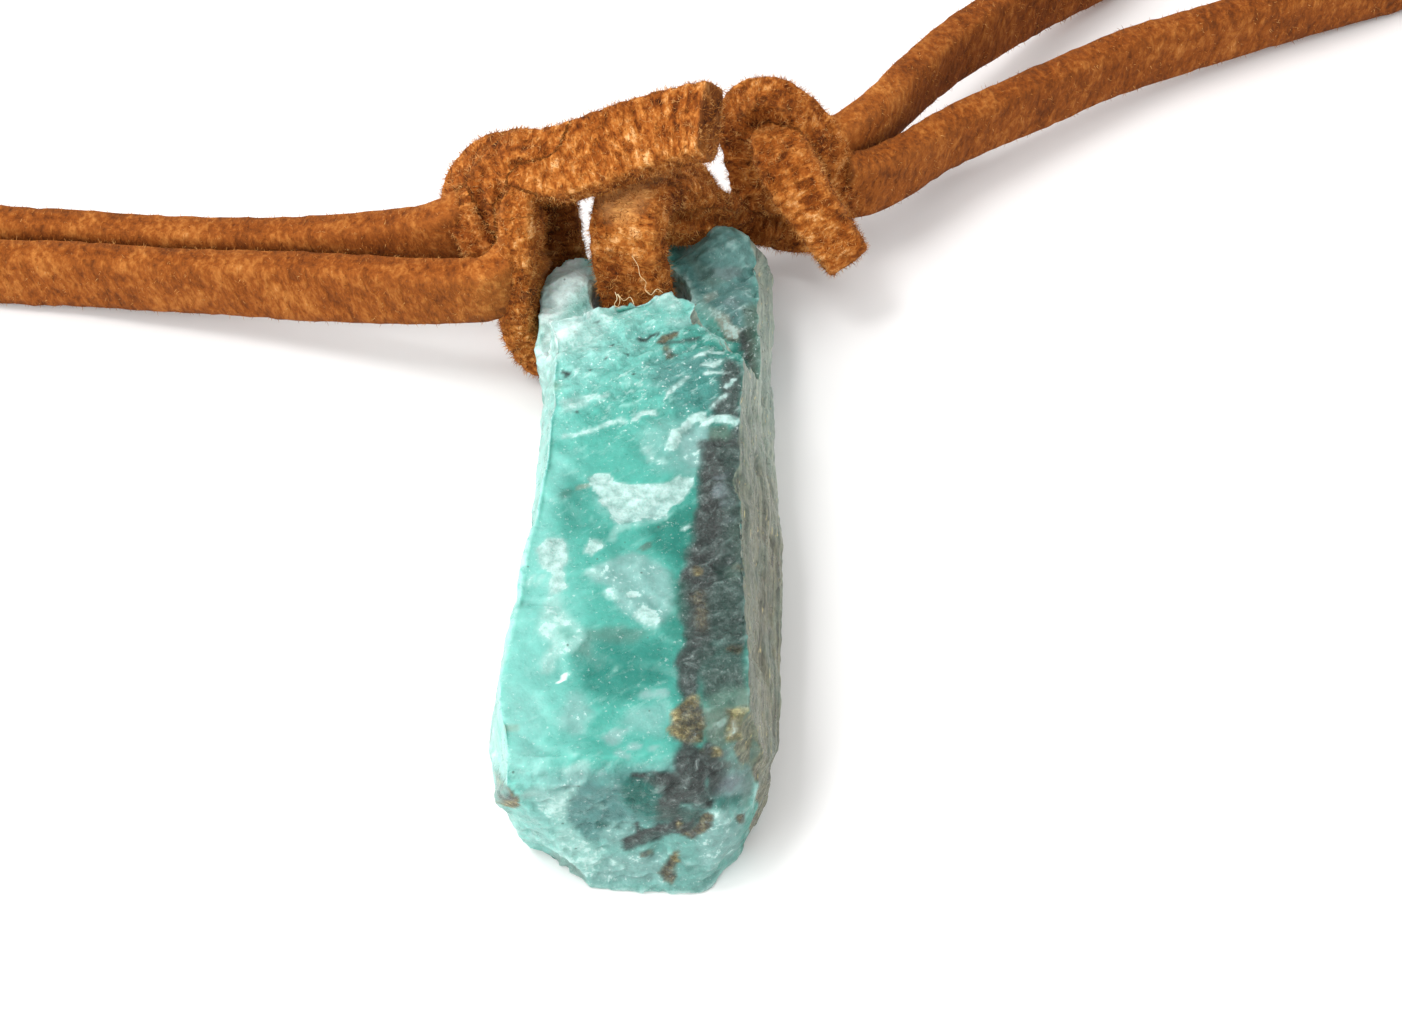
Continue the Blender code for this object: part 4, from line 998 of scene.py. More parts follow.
marks = [
    # Shoulder below the broken rim
    ("aqua", 0.7, 0.6, 0, [(-3.4, 5.2), (-2.6, 7.0), (-0.8, 7.9), (0.6, 8.4), (1.6, 8.0), (1.3, 6.3),
     (-0.6, 5.6), (-1.8, 4.6)]),
    ("mint", 0.7, 0.5, 0, [(-3.38, 5.25), (-1.52, 6.06), (-0.31, 6.78), (-0.29, 5.46), (-1.31, 5.0),
     (-2.43, 3.75), (-3.19, 3.75)]),
    ("frost", 0.9, 0.4, 0, [(-3.67, 6.06), (-3.03, 6.63), (-1.74, 7.5), (-0.58, 7.6), (-0.31, 7.14),
     (-0.3, 6.68), (-1.52, 6.12), (-2.08, 5.46), (-2.85, 5.25), (-3.37, 4.95), (-3.82, 4.45)]),
    ("frost", 0.85, 0.15, 0, [(-3.89, 4.45), (-3.6, 4.75), (-3.51, 4.25), (-3.64, 3.5), (-3.77, 2.76),
     (-3.81, 1.79), (-3.85, 0.49), (-4.15, 0.49), (-4.06, 2.27), (-3.98, 3.5)]),
    ("aqua", 0.8, 0.2, 0, [(-1.55, 5.56), (-0.94, 6.01), (-0.3, 6.17), (-0.29, 5.71), (-1.32, 5.48)]),
    ("teal", 0.7, 0.3, 0, [(-2.47, 2.13), (-1.65, 2.62), (-0.27, 3.26), (-0.25, 2.03), (-1.63, 1.79),
     (-2.39, 1.79), (-3.32, 1.64)]),
    ("teal", 0.8, 0.25, 0, [(-3.68, 0.91), (-2.0, 1.11), (-1.44, 1.3), (-0.25, 1.54), (-0.23, 0.49),
     (-3.63, 0.49)]),
    ("frost", 0.85, 0.12, 0, [(-3.16, 2.76), (-2.11, 3.01), (-2.22, 2.67), (-2.77, 2.27), (-3.04, 2.32)]),
    ("sage", 0.55, 0.25, 0, [(-3.57, 3.85), (-3.3, 3.75), (-3.25, 3.36), (-3.59, 3.21), (-3.67, 3.46)]),
    ("frost", 0.9, 0.12, 0.05, [(-3.16, 2.71), (-2.6, 2.96), (-2.11, 3.06), (-1.73, 2.96),
     (-1.54, 3.11)]),
    ("frost", 0.9, 0.1, 0.05, [(-3.08, 1.15), (-2.75, 1.15), (-2.19, 1.25), (-1.63, 1.64), (-1.07, 1.83),
     (-0.69, 1.83)]),
    ("aqua", 0.7, 0.3, 0, [(-1.49, 7.16), (0.11, 7.23), (1.17, 7.29), (1.27, 6.27), (0.12, 6.2),
     (-1.32, 5.76)]),
    ("frost", 0.8, 0.25, 0, [(-0.38, 7.74), (0.58, 8.2), (1.17, 8.26), (1.26, 7.68), (1.07, 7.29),
     (0.11, 7.42)]),
    ("aqua", 0.8, 0.2, 0, [(1.26, 7.94), (2.04, 7.81), (2.28, 7.03), (2.52, 6.2), (1.94, 6.4),
     (1.46, 6.84)]),
    ("frost", 0.6, 0.2, 0, [(0.78, 6.97), (1.56, 7.03), (1.85, 6.71), (1.32, 6.4), (0.59, 6.65)]),
    # Shoulder's right part, up to the head of the dark band
    ("seaGrey", 0.75, 0.6, 0, [(0.23, 4.75), (1.56, 5.25), (2.8, 4.88), (2.79, 2.15), (1.19, 2.27),
     (0.9, 3.26), (0.14, 3.5)]),
    ("lagoon", 0.5, 0.4, 0, [(1.09, 4.13), (2.51, 4.13), (2.42, 2.27), (1.28, 2.4)]),
    ("jade", 0.9, 0.1, 0, [(2.04, 7.74), (2.33, 7.42), (2.67, 6.46), (3.0, 5.89), (3.19, 5.51),
     (3.09, 5.25), (2.52, 5.82), (2.28, 6.2)]),
    ("bone", 0.9, 0.08, 0, [(2.28, 7.48), (2.76, 7.16), (3.0, 6.52), (3.29, 6.71), (3.58, 6.33),
     (3.38, 5.82), (3.0, 6.01), (2.71, 6.46)]),
    ("slate", 0.95, 0.12, 0, [(3.58, 6.4), (3.92, 6.33), (4.02, 4.5), (4.08, 3.5), (3.89, 3.88),
     (3.71, 5.0), (3.43, 5.38), (3.43, 5.89)]),
    ("slate", 0.85, 0.2, 0, [(2.9, 4.88), (3.28, 4.75), (3.52, 4.5), (3.51, 3.88), (3.45, 2.03),
     (3.26, 2.03), (2.51, 2.15), (2.42, 2.7), (2.8, 3.13), (2.61, 3.88), (2.8, 4.38)]),
    ("slate", 0.9, 0.15, 0, [(2.32, 1.42), (2.97, 0.88), (3.16, 1.42), (3.5, 2.03), (3.47, -1.38),
     (2.13, -1.38), (2.18, 0.51)]),
    ("lichen", 0.8, 0.15, 0, [(2.37, 1.54), (2.98, 1.66), (3.21, 1.12), (2.97, 0.88), (2.41, 0.94)]),
    ("haze", 0.5, 0.35, 0, [(-0.24, 1.44), (0.49, 2.01), (1.96, 2.01), (2.26, 1.44), (2.18, -0.22),
     (1.6, -0.82), (0.51, -0.54), (-0.05, 0.25)]),
    lens,
    ("frost", 0.75, 0.1, 0, [(-0.11, 0.64), (0.17, 0.58), (0.31, 0.27), (0.27, -0.2), (0.08, 0.04)]),
    ("frost", 0.8, 0.1, 0, [(0.41, -0.02), (0.69, 0.04), (0.87, -0.2), (0.6, -0.32)]),
    arc,
    # Thin dark and pale lines on the shoulder
    ("ink", 0.9, 0.08, 0.03, [(-0.41, 5.82), (-0.12, 5.73), (0.21, 5.98), (0.53, 6.13)]),
    ("umber", 0.9, 0.12, 0.07, [(0.46, 5.73), (0.74, 5.92), (1.01, 6.08)]),
    ("ink", 0.65, 0.12, 0.03, [(0.6, 5.63), (1.18, 5.73), (1.56, 5.79), (1.9, 5.89)]),
    ("umber", 0.65, 0.15, 0.08, [(0.65, 5.32), (0.82, 5.1), (0.96, 5.03)]),
    ("umber", 0.7, 0.08, 0.03, [(2.9, 6.01), (3.33, 5.76)]),
    ("chalk", 0.8, 0.1, 0.03, [(1.75, 4.97), (2.18, 5.13), (2.78, 5.16)]),
    ("chalk", 0.7, 0.1, 0.03, [(2.71, 4.75), (2.42, 4.5), (2.04, 4.56)]),
    ("chalk", 0.7, 0.1, 0.03, [(2.13, 4.13), (2.71, 4.19)]),
    ("chalk", 0.5, 0.12, 0.03, [(1.56, 3.94), (1.09, 3.5), (0.71, 3.07)]),
    ("chalk", 0.6, 0.1, 0.03, [(2.32, 2.52), (2.65, 2.83), (2.99, 3.2)]),
    ("chalk", 0.85, 0.12, 0.05, [(-0.41, 1.97), (-0.13, 2.33), (0.34, 2.33)]),
    ("chalk", 0.9, 0.08, 0.05, [(2.94, 3.57), (3.18, 3.81)]),
    # Middle of the face
    ("teal", 0.8, 0.5, 0, [(-3.21, -2.36), (-1.85, -1.54), (-1.37, -2.6), (-1.13, -3.18), (-0.67, -3.18),
     (-0.44, -3.64), (-1.78, -4.78), (-2.69, -4.9), (-2.8, -4.1), (-3.09, -3.41)]),
    ("fern", 0.8, 0.3, 0, [(0.92, -2.6), (1.84, -2.01), (1.93, -2.36), (1.66, -3.75), (1.66, -4.33),
     (1.16, -4.78), (1.02, -4.33), (0.24, -4.04), (0.23, -2.89)]),
    ("aqua", 0.8, 0.2, 0, [(-1.94, -1.54), (-1.62, -1.6), (-1.23, -2.36), (-1.37, -2.6), (-1.69, -2.42),
     (-1.89, -1.9)]),
    bruise,
    ("haze", 0.6, 0.15, 0, [(-1.18, -2.6), (-0.45, -2.36), (0.47, -2.01), (0.93, -2.19), (0.84, -2.71),
     (-0.44, -2.92), (-0.95, -2.92)]),
    ("moss", 0.8, 0.15, 0, [(-3.23, -1.6), (-2.78, -1.31), (-2.59, -1.42), (-2.63, -1.78),
     (-3.04, -1.84)]),
    ("bone", 0.8, 0.1, 0.08, [(-2.41, -1.28), (-2.23, -1.16)]),
    ("chalk", 0.9, 0.12, 0, [(-3.85, -4.1), (-3.55, -3.58), (-3.0, -3.58), (-2.8, -4.33), (-2.96, -4.9),
     (-2.72, -5.75), (-3.29, -6.19), (-3.44, -5.75), (-3.32, -5.18), (-3.74, -4.73)]),
    ("frost", 0.8, 0.2, 0, [(-3.47, -6.19), (-3.11, -6.19), (-2.64, -7.14), (-3.15, -8.07),
     (-3.51, -8.07), (-3.67, -7.14)]),
    ("chalk", 0.85, 0.1, 0, [(-2.16, -4.15), (-2.04, -3.58), (-1.81, -3.58), (-1.53, -3.87),
     (-1.89, -4.33)]),
    ("lichen", 0.75, 0.35, 0, [(2.07, -9.44), (3.53, -9.27), (3.76, -10.62), (3.92, -12.28),
     (4.27, -14.12), (3.49, -14.72), (2.47, -14.32), (2.17, -12.28)]),
    cloud,
    ("chalk", 0.85, 0.12, 0, [(-0.3, -6.98), (-0.04, -6.59), (0.51, -6.98), (0.64, -7.2), (0.38, -7.53),
     (-0.08, -7.31)]),
    ("chalk", 0.9, 0.1, 0.09, [(-0.54, -6.03), (-0.4, -6.11)]),
    ("frost", 0.8, 0.15, 0.12, [(-1.26, -6.03), (-1.17, -6.25)]),
    ("frost", 0.7, 0.15, 0.1, [(-1.91, -5.12), (-1.59, -5.24)]),
    ("frost", 0.6, 0.12, 0.06, [(-1.35, -3.64), (-0.99, -3.12), (-0.63, -3.0)]),
    ("frost", 0.7, 0.1, 0.06, [(-4.21, -5.75), (-4.04, -5.35)]),
    ("frost", 0.6, 0.1, 0.04, [(-3.89, -5.69), (-3.63, -5.35)]),
    ("moss", 0.85, 0.1, 0.1, [(-0.07, -3.98), (0.12, -3.9)]),
    # Dark mica band
    ("slate", 0.95, 0.12, 0, [(2.21, 0.96), (3.48, 0.96), (3.49, -2.6), (3.57, -4.9), (3.5, -8.07),
     (1.49, -8.07), (1.08, -6.53), (1.3, -5.91), (1.43, -4.9), (1.7, -4.33), (1.89, -3.35), (2.02, -1.72),
     (2.12, -0.24)]),
    ("coal", 0.85, 0.15, 0, [(2.02, -1.78), (2.67, -1.9), (2.85, -2.6), (2.76, -3.52), (2.21, -3.75),
     (1.93, -3.52), (1.93, -2.36)]),
    ("coal", 0.8, 0.18, 0, [(1.43, -4.9), (2.02, -4.21), (2.57, -4.61), (2.57, -5.75), (2.02, -6.31),
     (1.39, -5.97), (1.3, -5.75)]),
    ("umber", 0.6, 0.2, 0, [(1.66, -6.03), (2.2, -6.03), (2.29, -7.59), (1.84, -7.7)]),
    ("fir", 0.85, 0.2, 0, [(2.57, -4.9), (3.48, -4.9), (3.45, -8.07), (2.38, -8.07), (2.29, -6.31)]),
    ("fir", 0.6, 0.2, 0, [(2.49, 0.6), (3.38, 0.72), (3.42, -0.6), (2.77, -0.24)]),
    ("ash", 0.85, 0.12, 0, [(2.3, -1.43), (2.49, -1.19), (2.9, -1.01), (3.04, -1.6), (2.76, -1.78),
     (2.39, -1.66)]),
    ("lichen", 0.75, 0.2, 0, [(3.22, -2.36), (3.54, -3.18), (3.48, -4.61), (3.21, -4.33), (3.03, -3.18)]),
    ("ash", 0.8, 0.12, 0.08, [(2.63, -0.77), (2.95, -0.66)]),
    ("ash", 0.7, 0.12, 0.1, [(2.85, -2.01), (3.11, -1.92)]),
    ("ash", 0.6, 0.12, 0.1, [(2.94, -2.77), (3.08, -2.71)]),
    ("brass", 0.75, 0.12, 0.08, [(1.8, -4.9), (1.86, -5.12)]),
    ("lichen", 0.8, 0.15, 0.18, [(3.11, -5.07), (3.16, -5.24)]),
    ("brass", 0.6, 0.12, 0.05, [(3.25, -4.78), (3.43, -4.9)]),
    ("chalk", 0.95, 0.05, 0.04, [(1.4, -3.25), (1.56, -3.03)]),
    # Lower face
    ("deep", 0.85, 0.45, 0, [(-2.38, -8.58), (-1.28, -7.87), (0.52, -8.25), (1.05, -8.85), (0.88, -9.83),
     (0.09, -10.48), (-1.23, -10.58), (-2.12, -10.26)]),
    ("moss", 0.6, 0.25, 0, [(-2.09, -7.54), (-0.84, -7.37), (0.29, -7.76), (-0.38, -8.14), (-1.72, -8.09),
     (-1.97, -8.69), (-2.42, -8.64)]),
    ("haze", 0.7, 0.25, 0, [(-2.88, -11.33), (-2.56, -10.37), (-2.29, -10.37), (-1.98, -10.69),
     (-1.79, -11.12), (-1.99, -11.96), (-2.43, -12.07), (-2.78, -11.86)]),
    ("frost", 0.8, 0.15, 0, [(-3.79, -7.54), (-3.26, -7.21), (-2.63, -7.21), (-2.18, -7.54),
     (-2.08, -8.03), (-2.6, -8.64), (-3.03, -9.02), (-3.2, -9.56), (-3.46, -9.51), (-3.61, -9.07),
     (-3.32, -8.31), (-3.42, -7.87)]),
    ("jade", 0.7, 0.15, 0, [(-3.12, -7.54), (-2.63, -7.43), (-2.26, -7.76), (-2.61, -8.09),
     (-3.02, -7.92)]),
    ("haze", 0.55, 0.3, 0, [(-0.43, -11.01), (0.8, -10.69), (0.72, -12.07), (-0.24, -11.96),
     (-0.77, -11.54)]),
    ("haze", 0.85, 0.12, 0.08, [(0.05, -10.48), (0.8, -10.37)]),
    ("haze", 0.9, 0.12, 0, [(-1.42, -12.17), (-0.99, -11.75), (-0.68, -11.91), (-0.38, -11.7),
     (-0.33, -11.86), (-0.85, -12.38), (-1.19, -12.54)]),
    ("haze", 0.9, 0.12, 0.08, [(-0.41, -12.51), (-0.26, -12.51)]),
    ("haze", 0.7, 0.12, 0.06, [(0.2, -12.57), (0.42, -12.57)]),
    ("haze", 0.8, 0.12, 0.1, [(-0.8, -12.85), (-0.53, -12.98)]),
    ("haze", 0.8, 0.12, 0.06, [(-1.48, -13.66), (-1.35, -13.66)]),
    ("sage", 0.8, 0.12, 0.07, [(-4.69, -11.86), (-4.32, -11.78)]),
    ("mint", 0.8, 0.4, 0, [(-4.99, -12.59), (-3.81, -12.59), (-3.27, -13.11), (-3.42, -13.89),
     (-4.64, -13.84), (-4.96, -13.37)]),
    ("mint", 0.5, 0.4, 0, [(-4.97, -9.51), (-3.66, -10.48), (-3.39, -12.07), (-4.69, -12.33),
     (-5.05, -11.01)]),
    ("frost", 0.85, 0.12, 0, [(-2.74, -13.53), (-1.97, -13.11), (-1.83, -13.63), (-2.03, -14.15),
     (-2.45, -14.66), (-2.7, -15.17), (-3.04, -15.07), (-3.05, -14.66), (-3.44, -14.66), (-4.0, -14.66),
     (-4.01, -14.35), (-3.41, -14.2), (-2.89, -14.41), (-2.56, -13.89)]),
    ("seaGrey", 0.85, 0.2, 0, [(-2.45, -14.76), (-2.03, -14.3), (-1.6, -14.15), (-0.82, -14.25),
     (-0.64, -14.92), (-0.07, -15.52), (-2.43, -15.52)]),
    # A painted glint: a tiny white spot of reflected light
    ("white", 1, 0.04, 0.04, [(-2.84, -9.8), (-2.71, -9.59)]),
    # Foot of the band, with pyrite
    ("coal", 0.9, 0.15, 0, [(1.49, -7.9), (2.22, -7.8), (2.58, -8.49), (1.98, -9.28), (1.82, -10.64),
     (1.42, -10.64), (1.18, -9.96), (1.1, -8.99)]),
    ("fir", 0.9, 0.25, 0, [(1.98, -8.2), (3.55, -7.95), (3.57, -9.96), (2.77, -10.25), (2.06, -10.64),
     (1.94, -9.42)]),
    ("lichen", 0.8, 0.2, 0, [(2.14, -11.12), (2.85, -11.02), (2.88, -12.26), (2.37, -12.54),
     (2.06, -12.07)]),
    ("umber", 0.9, 0.12, 0, [(0.95, -11.12), (1.42, -10.64), (1.94, -10.64), (2.14, -11.4), (1.98, -12.3),
     (1.59, -12.54), (1.11, -12.26), (0.91, -11.59)]),
    ("brass", 0.8, 0.1, 0, [(0.87, -11.07), (1.19, -11.02), (1.31, -11.4), (1.11, -11.59),
     (0.91, -11.45)]),
    ("brass", 0.6, 0.12, 0.1, [(1.58, -10.64), (1.8, -10.54)]),
    ("brass", 0.6, 0.15, 0.12, [(1.11, -11.88), (1.35, -11.97)]),
    ("brass", 0.75, 0.15, 0, [(2.85, -11.02), (3.56, -10.92), (3.59, -12.07), (3.35, -12.4),
     (2.92, -12.26), (2.89, -11.59)]),
    ("bone", 0.8, 0.1, 0, [(3.0, -11.5), (3.28, -11.4), (3.32, -11.97), (3.12, -12.16)]),
    ("straw", 1, 0.06, 0.1, [(3.24, -11.07), (3.44, -11.07)]),
    ("brass", 0.85, 0.1, 0.08, [(2.1, -12.73), (2.25, -12.78)]),
    ("ink", 0.75, 0.15, 0.15, [(2.33, -12.63), (2.68, -12.82)]),
    ("coal", 0.85, 0.2, 0, [(1.35, -12.92), (2.21, -13.01), (2.76, -13.48), (2.76, -13.94),
     (2.21, -14.41), (1.36, -14.72), (1.28, -13.48)]),
    ("umber", 0.8, 0.12, 0.1, [(2.49, -13.38), (2.88, -13.29)]),
    ("ash", 0.8, 0.2, 0, [(2.88, -13.62), (3.85, -13.24), (4.32, -13.71), (4.11, -14.41), (2.75, -14.72),
     (2.37, -14.54)]),
    ("umber", 0.85, 0.1, 0.1, [(3.27, -13.34), (3.35, -13.43)]),
    ("umber", 0.7, 0.1, 0.1, [(4.01, -13.48), (4.08, -13.76)]),
    ("brass", 0.7, 0.1, 0.08, [(3.86, -12.59), (3.93, -13.1)]),
    ("umber", 0.5, 0.15, 0.1, [(3.1, -8.4), (3.3, -8.49)]),
    # Wide end
    ("haze", 0.6, 0.5, 0, [(-3.6, -13.7), (0.0, -13.4), (3.6, -12.4), (5.2, -12.6), (4.6, -19.0),
     (-4.4, -19.0)]),
    ("harbour", 0.5, 0.5, 0, [(-3.0, -13.9), (0.0, -13.4), (1.4, -14.0), (1.2, -15.9), (-1.8, -15.9)]),
    ("ocean", 0.8, 0.2, 0, [(-0.68, -13.83), (0.27, -13.71), (1.29, -13.91), (1.46, -14.72),
     (1.23, -15.44), (0.28, -15.52), (-0.56, -15.04)]),
    ("coal", 0.75, 0.25, 0, [(1.15, -12.61), (1.62, -12.49), (2.48, -12.78), (2.89, -13.31),
     (2.81, -14.12), (2.37, -14.72), (1.63, -14.8), (1.02, -14.52), (-0.07, -14.32), (-0.34, -13.83),
     (0.61, -13.75), (1.29, -13.59)]),
    ("mint", 0.7, 0.2, 0, [(-4.9, -15.01), (-4.56, -14.93), (-3.17, -15.58), (-2.33, -15.91),
     (-2.79, -16.87), (-3.82, -16.47), (-4.87, -15.83)]),
    ("frost", 0.75, 0.12, 0, [(-3.19, -14.61), (-2.58, -14.28), (-1.97, -13.95), (-2.16, -14.77),
     (-2.41, -15.58), (-3.04, -15.34), (-3.53, -14.93)]),
    ("seaGrey", 0.9, 0.15, 0, [(-2.5, -14.77), (-1.9, -14.03), (-0.79, -14.19), (-0.7, -15.01),
     (-0.35, -15.42), (-0.63, -15.58), (-1.04, -15.58), (-1.3, -16.23), (-1.78, -16.31), (-2.2, -15.91),
     (-2.49, -15.34)]),
    ("ocean", 0.9, 0.12, 0, [(-0.65, -14.11), (-0.1, -13.86), (0.46, -14.19), (0.46, -14.69),
     (-0.09, -14.93), (-0.64, -14.69)]),
    ("coal", 0.9, 0.1, 0, [(0.32, -13.7), (1.15, -13.62), (1.43, -14.61), (2.39, -14.69), (2.39, -15.01),
     (1.77, -15.01), (1.36, -14.77), (1.16, -15.5), (0.74, -15.34), (0.6, -14.77), (0.74, -14.28)]),
    ("coal", 0.85, 0.15, 0, [(1.35, -12.28), (2.33, -12.79), (2.74, -13.62), (2.33, -14.28),
     (1.43, -14.61), (1.15, -13.62)]),
    ("fir", 0.8, 0.15, 0, [(0.47, -14.93), (2.19, -15.1), (2.12, -15.91), (1.77, -16.07), (1.16, -15.66),
     (0.54, -15.58)]),
    ("haze", 0.8, 0.2, 0, [(-1.15, -16.87), (0.75, -16.71), (0.76, -17.98), (-1.27, -18.06),
     (-2.36, -17.67), (-2.37, -17.35), (-1.55, -17.51)]),
    ("haze", 0.8, 0.2, 0, [(2.32, -15.18), (3.7, -15.1), (3.69, -15.74), (3.14, -16.87), (2.32, -17.51),
     (1.84, -17.19), (1.98, -16.23)]),
    ("haze", 0.7, 0.15, 0, [(-1.18, -15.58), (-0.28, -15.58), (-0.21, -16.15), (-0.61, -16.47),
     (-1.02, -16.55), (-1.3, -16.31)]),
    ("frost", 0.7, 0.2, 0, [(-2.89, -15.74), (-2.41, -15.74), (-1.78, -16.39), (-1.16, -16.71),
     (-1.35, -17.19), (-1.55, -17.51), (-2.37, -17.27), (-2.86, -16.87)]),
    ("ash", 0.8, 0.15, 0, [(2.81, -13.86), (3.23, -13.7), (3.5, -13.95), (3.09, -14.36), (2.46, -14.36)]),
    ("ocean", 0.8, 0.12, 0, [(2.46, -14.61), (3.43, -14.52), (3.36, -15.01), (2.53, -15.01)]),
    ("ink", 0.9, 0.08, 0.05, [(-0.27, -13.8), (0.07, -13.8)]),
    ("ink", 0.85, 0.12, 0.06, [(-0.55, -16.39), (-0.21, -16.15), (0.61, -15.83), (1.16, -15.58)]),
    ("ink", 0.8, 0.12, 0.06, [(-0.15, -15.66), (-0.21, -16.15)]),
    ("umber", 0.85, 0.12, 0.1, [(1.43, -15.91), (1.77, -16.07), (2.01, -15.91), (2.32, -15.42)]),
    ("brass", 0.95, 0.06, 0.08, [(1.16, -15.66), (1.24, -15.71)]),
    ("umber", 0.8, 0.1, 0.1, [(3.35, -15.38), (3.44, -15.49)]),
    ("umber", 0.6, 0.1, 0.08, [(0.07, -16.87), (0.28, -16.75)]),
    ("ocean", 0.7, 0.1, 0.06, [(-1.45, -15.68), (-1.14, -15.65)]),
    ("umber", 0.9, 0.1, 0, [(0.62, -17.51), (0.96, -17.03), (1.16, -16.71), (1.33, -16.95),
     (1.16, -17.35), (1.03, -17.98), (0.76, -17.82)]),
    ("brass", 0.8, 0.1, 0.05, [(1.2, -16.87), (1.27, -17.03)]),
    ("frost", 0.8, 0.1, 0.06, [(-1.01, -17.23), (-0.67, -17.39)]),
    ("frost", 0.6, 0.1, 0.06, [(-1.39, -14.93), (-1.26, -15.01)]),
    # Pyrite at the wide end's left corner
    ("umber", 0.9, 0.08, 0, [(-4.95, -13.58), (-4.72, -13.89), (-4.49, -14.25), (-4.09, -14.66),
     (-4.12, -14.92), (-4.86, -14.87), (-5.01, -14.3)]),
    ("straw", 0.9, 0.06, 0.05, [(-4.87, -13.92), (-4.8, -14.02)]),
    ("straw", 0.9, 0.06, 0.05, [(-4.82, -14.79), (-4.6, -14.87)]),
    ("brass", 0.9, 0.06, 0.06, [(-4.49, -14.87), (-4.21, -14.82)]),
    ("ink", 0.85, 0.06, 0.07, [(-4.68, -14.41), (-4.52, -14.59)]),
    # Right horn
    ("seaGrey", 0.9, 0.3, 0, [(1.02, 11.25), (1.43, 11.73), (2.03, 12.21), (2.62, 12.38), (3.45, 12.05),
     (4.04, 11.25), (4.08, 9.5), (3.87, 6.39), (3.12, 6.24), (2.26, 7.54), (1.09, 8.24)]),
    ("fir", 0.5, 0.3, 0, [(1.67, 11.65), (2.26, 11.89), (2.26, 10.77), (1.79, 10.77)]),
    ("lichen", 0.6, 0.15, 0, [(1.08, 11.25), (1.44, 10.61), (1.97, 9.65), (2.61, 9.5), (3.43, 9.58),
     (3.72, 9.34), (2.84, 8.71), (2.26, 8.48), (1.97, 8.87), (1.56, 9.65), (1.08, 10.29)]),
    ("ash", 0.7, 0.12, 0, [(2.44, 9.58), (3.49, 9.5), (3.55, 9.1), (2.96, 8.79), (2.49, 9.02)]),
    ("bone", 0.8, 0.1, 0, [(2.03, 8.09), (2.61, 8.32), (2.72, 8.09), (2.2, 7.74)]),
    ("harbour", 0.8, 0.2, 0, [(2.26, 7.78), (3.84, 9.02), (3.85, 6.62), (3.12, 6.46), (2.6, 7.16)]),
    ("ash", 0.7, 0.12, 0.08, [(3.01, 7.62), (3.19, 7.78), (3.36, 7.54)]),
    ("bone", 0.85, 0.1, 0, [(2.32, 7.47), (2.84, 7.16), (3.12, 6.62), (3.53, 6.24), (3.41, 5.78),
     (2.83, 6.31)]),
    # Painted light: a pale lift over the whole horn, which the lace above shades
    ("haze", 0.45, 0.3, 0, [(1.0, 11.3), (1.6, 12.0), (2.6, 12.5), (3.7, 12.2), (4.4, 10.8), (4.6, 9.0),
     (4.4, 7.3), (3.8, 6.5), (2.6, 7.2), (2.0, 8.6), (1.5, 9.9)]),
    ("slate", 0.9, 0.12, 0, [(3.47, 6.24), (3.93, 6.46), (4.03, 4.87), (4.1, 2.87), (3.68, 4.12),
     (3.58, 5.25)]),
    # Left horn and the left rim: pale skin, with painted highlights near white where the light from the left
    # falls
    ("frost", 0.9, 0.3, 0, [(-3.97, 9.76), (-3.62, 10.14), (-3.05, 10.14), (-2.34, 9.86), (-1.96, 8.53),
     (-1.83, 7.4), (-2.28, 7.03), (-3.66, 6.28), (-4.07, 6.28), (-4.24, 7.21), (-4.09, 9.09)]),
    ("aqua", 0.7, 0.2, 0, [(-3.67, 6.75), (-3.4, 7.31), (-2.58, 7.96), (-2.28, 7.4), (-2.83, 6.84),
     (-3.59, 6.28)]),
    ("haze", 0.5, 0.2, 0, [(-2.72, 8.15), (-2.02, 8.24), (-1.86, 7.4), (-2.28, 7.21)]),
    # Painted highlights: the horn, the upper left corner and the rim brightened to near white for the light
    # falling from the left
    ("snow", 0.85, 0.35, 0, [(-4.4, 9.9), (-3.6, 10.4), (-2.6, 10.2), (-2.1, 8.7), (-2.4, 7.9),
     (-3.2, 7.2), (-3.6, 6.6), (-4.5, 6.4)]),
    ("aqua", 0.55, 0.25, 0, [(-3.3, 7.5), (-2.5, 8.6), (-1.9, 8.4), (-2.2, 7.2), (-2.8, 7.0)]),
    ("snow", 0.75, 0.3, 0, [(-3.95, 6.2), (-3.0, 6.9), (-2.5, 6.6), (-3.2, 5.7), (-3.75, 4.6),
     (-4.1, 4.8)]),
    ("snow", 0.6, 0.25, 0.1, [(-3.95, 5.2), (-4.05, 2.5), (-4.2, 0.2), (-4.3, -2.4), (-4.6, -4.6)]),
    ("chalk", 0.5, 0.25, 0.08, [(-4.9, -6.0), (-5.2, -8.5), (-5.3, -11.0), (-5.1, -13.0)]),
    # Over these: the band's dark line, deeper pools and single grains
    ("coal", 0.7, 0.22, 0.16, [(2.25, 0.8), (2.15, -1.2), (1.95, -3.2), (1.62, -4.9), (1.5, -6.4),
     (1.72, -8.2)]),
    ("fir", 0.65, 0.25, 0, [(2.85, 0.4), (3.6, 0.4), (3.65, -8.3), (2.75, -8.3), (2.55, -6.0),
     (2.75, -3.0)]),
    ("deep", 0.6, 0.5, 0, [(-2.9, -0.6), (-2.2, -1.0), (-1.9, -2.3), (-1.2, -3.1), (-1.4, -3.9),
     (-2.7, -3.2), (-3.3, -2.2)]),
    ("deep", 0.6, 0.35, 0, [(0.1, -3.1), (1.4, -2.6), (1.7, -3.7), (1.3, -4.9), (0.4, -4.3)]),
    ("fern", 0.6, 0.35, 0, [(1.0, -5.2), (1.5, -5.6), (1.45, -8.2), (0.95, -8.6), (0.75, -7.4)]),
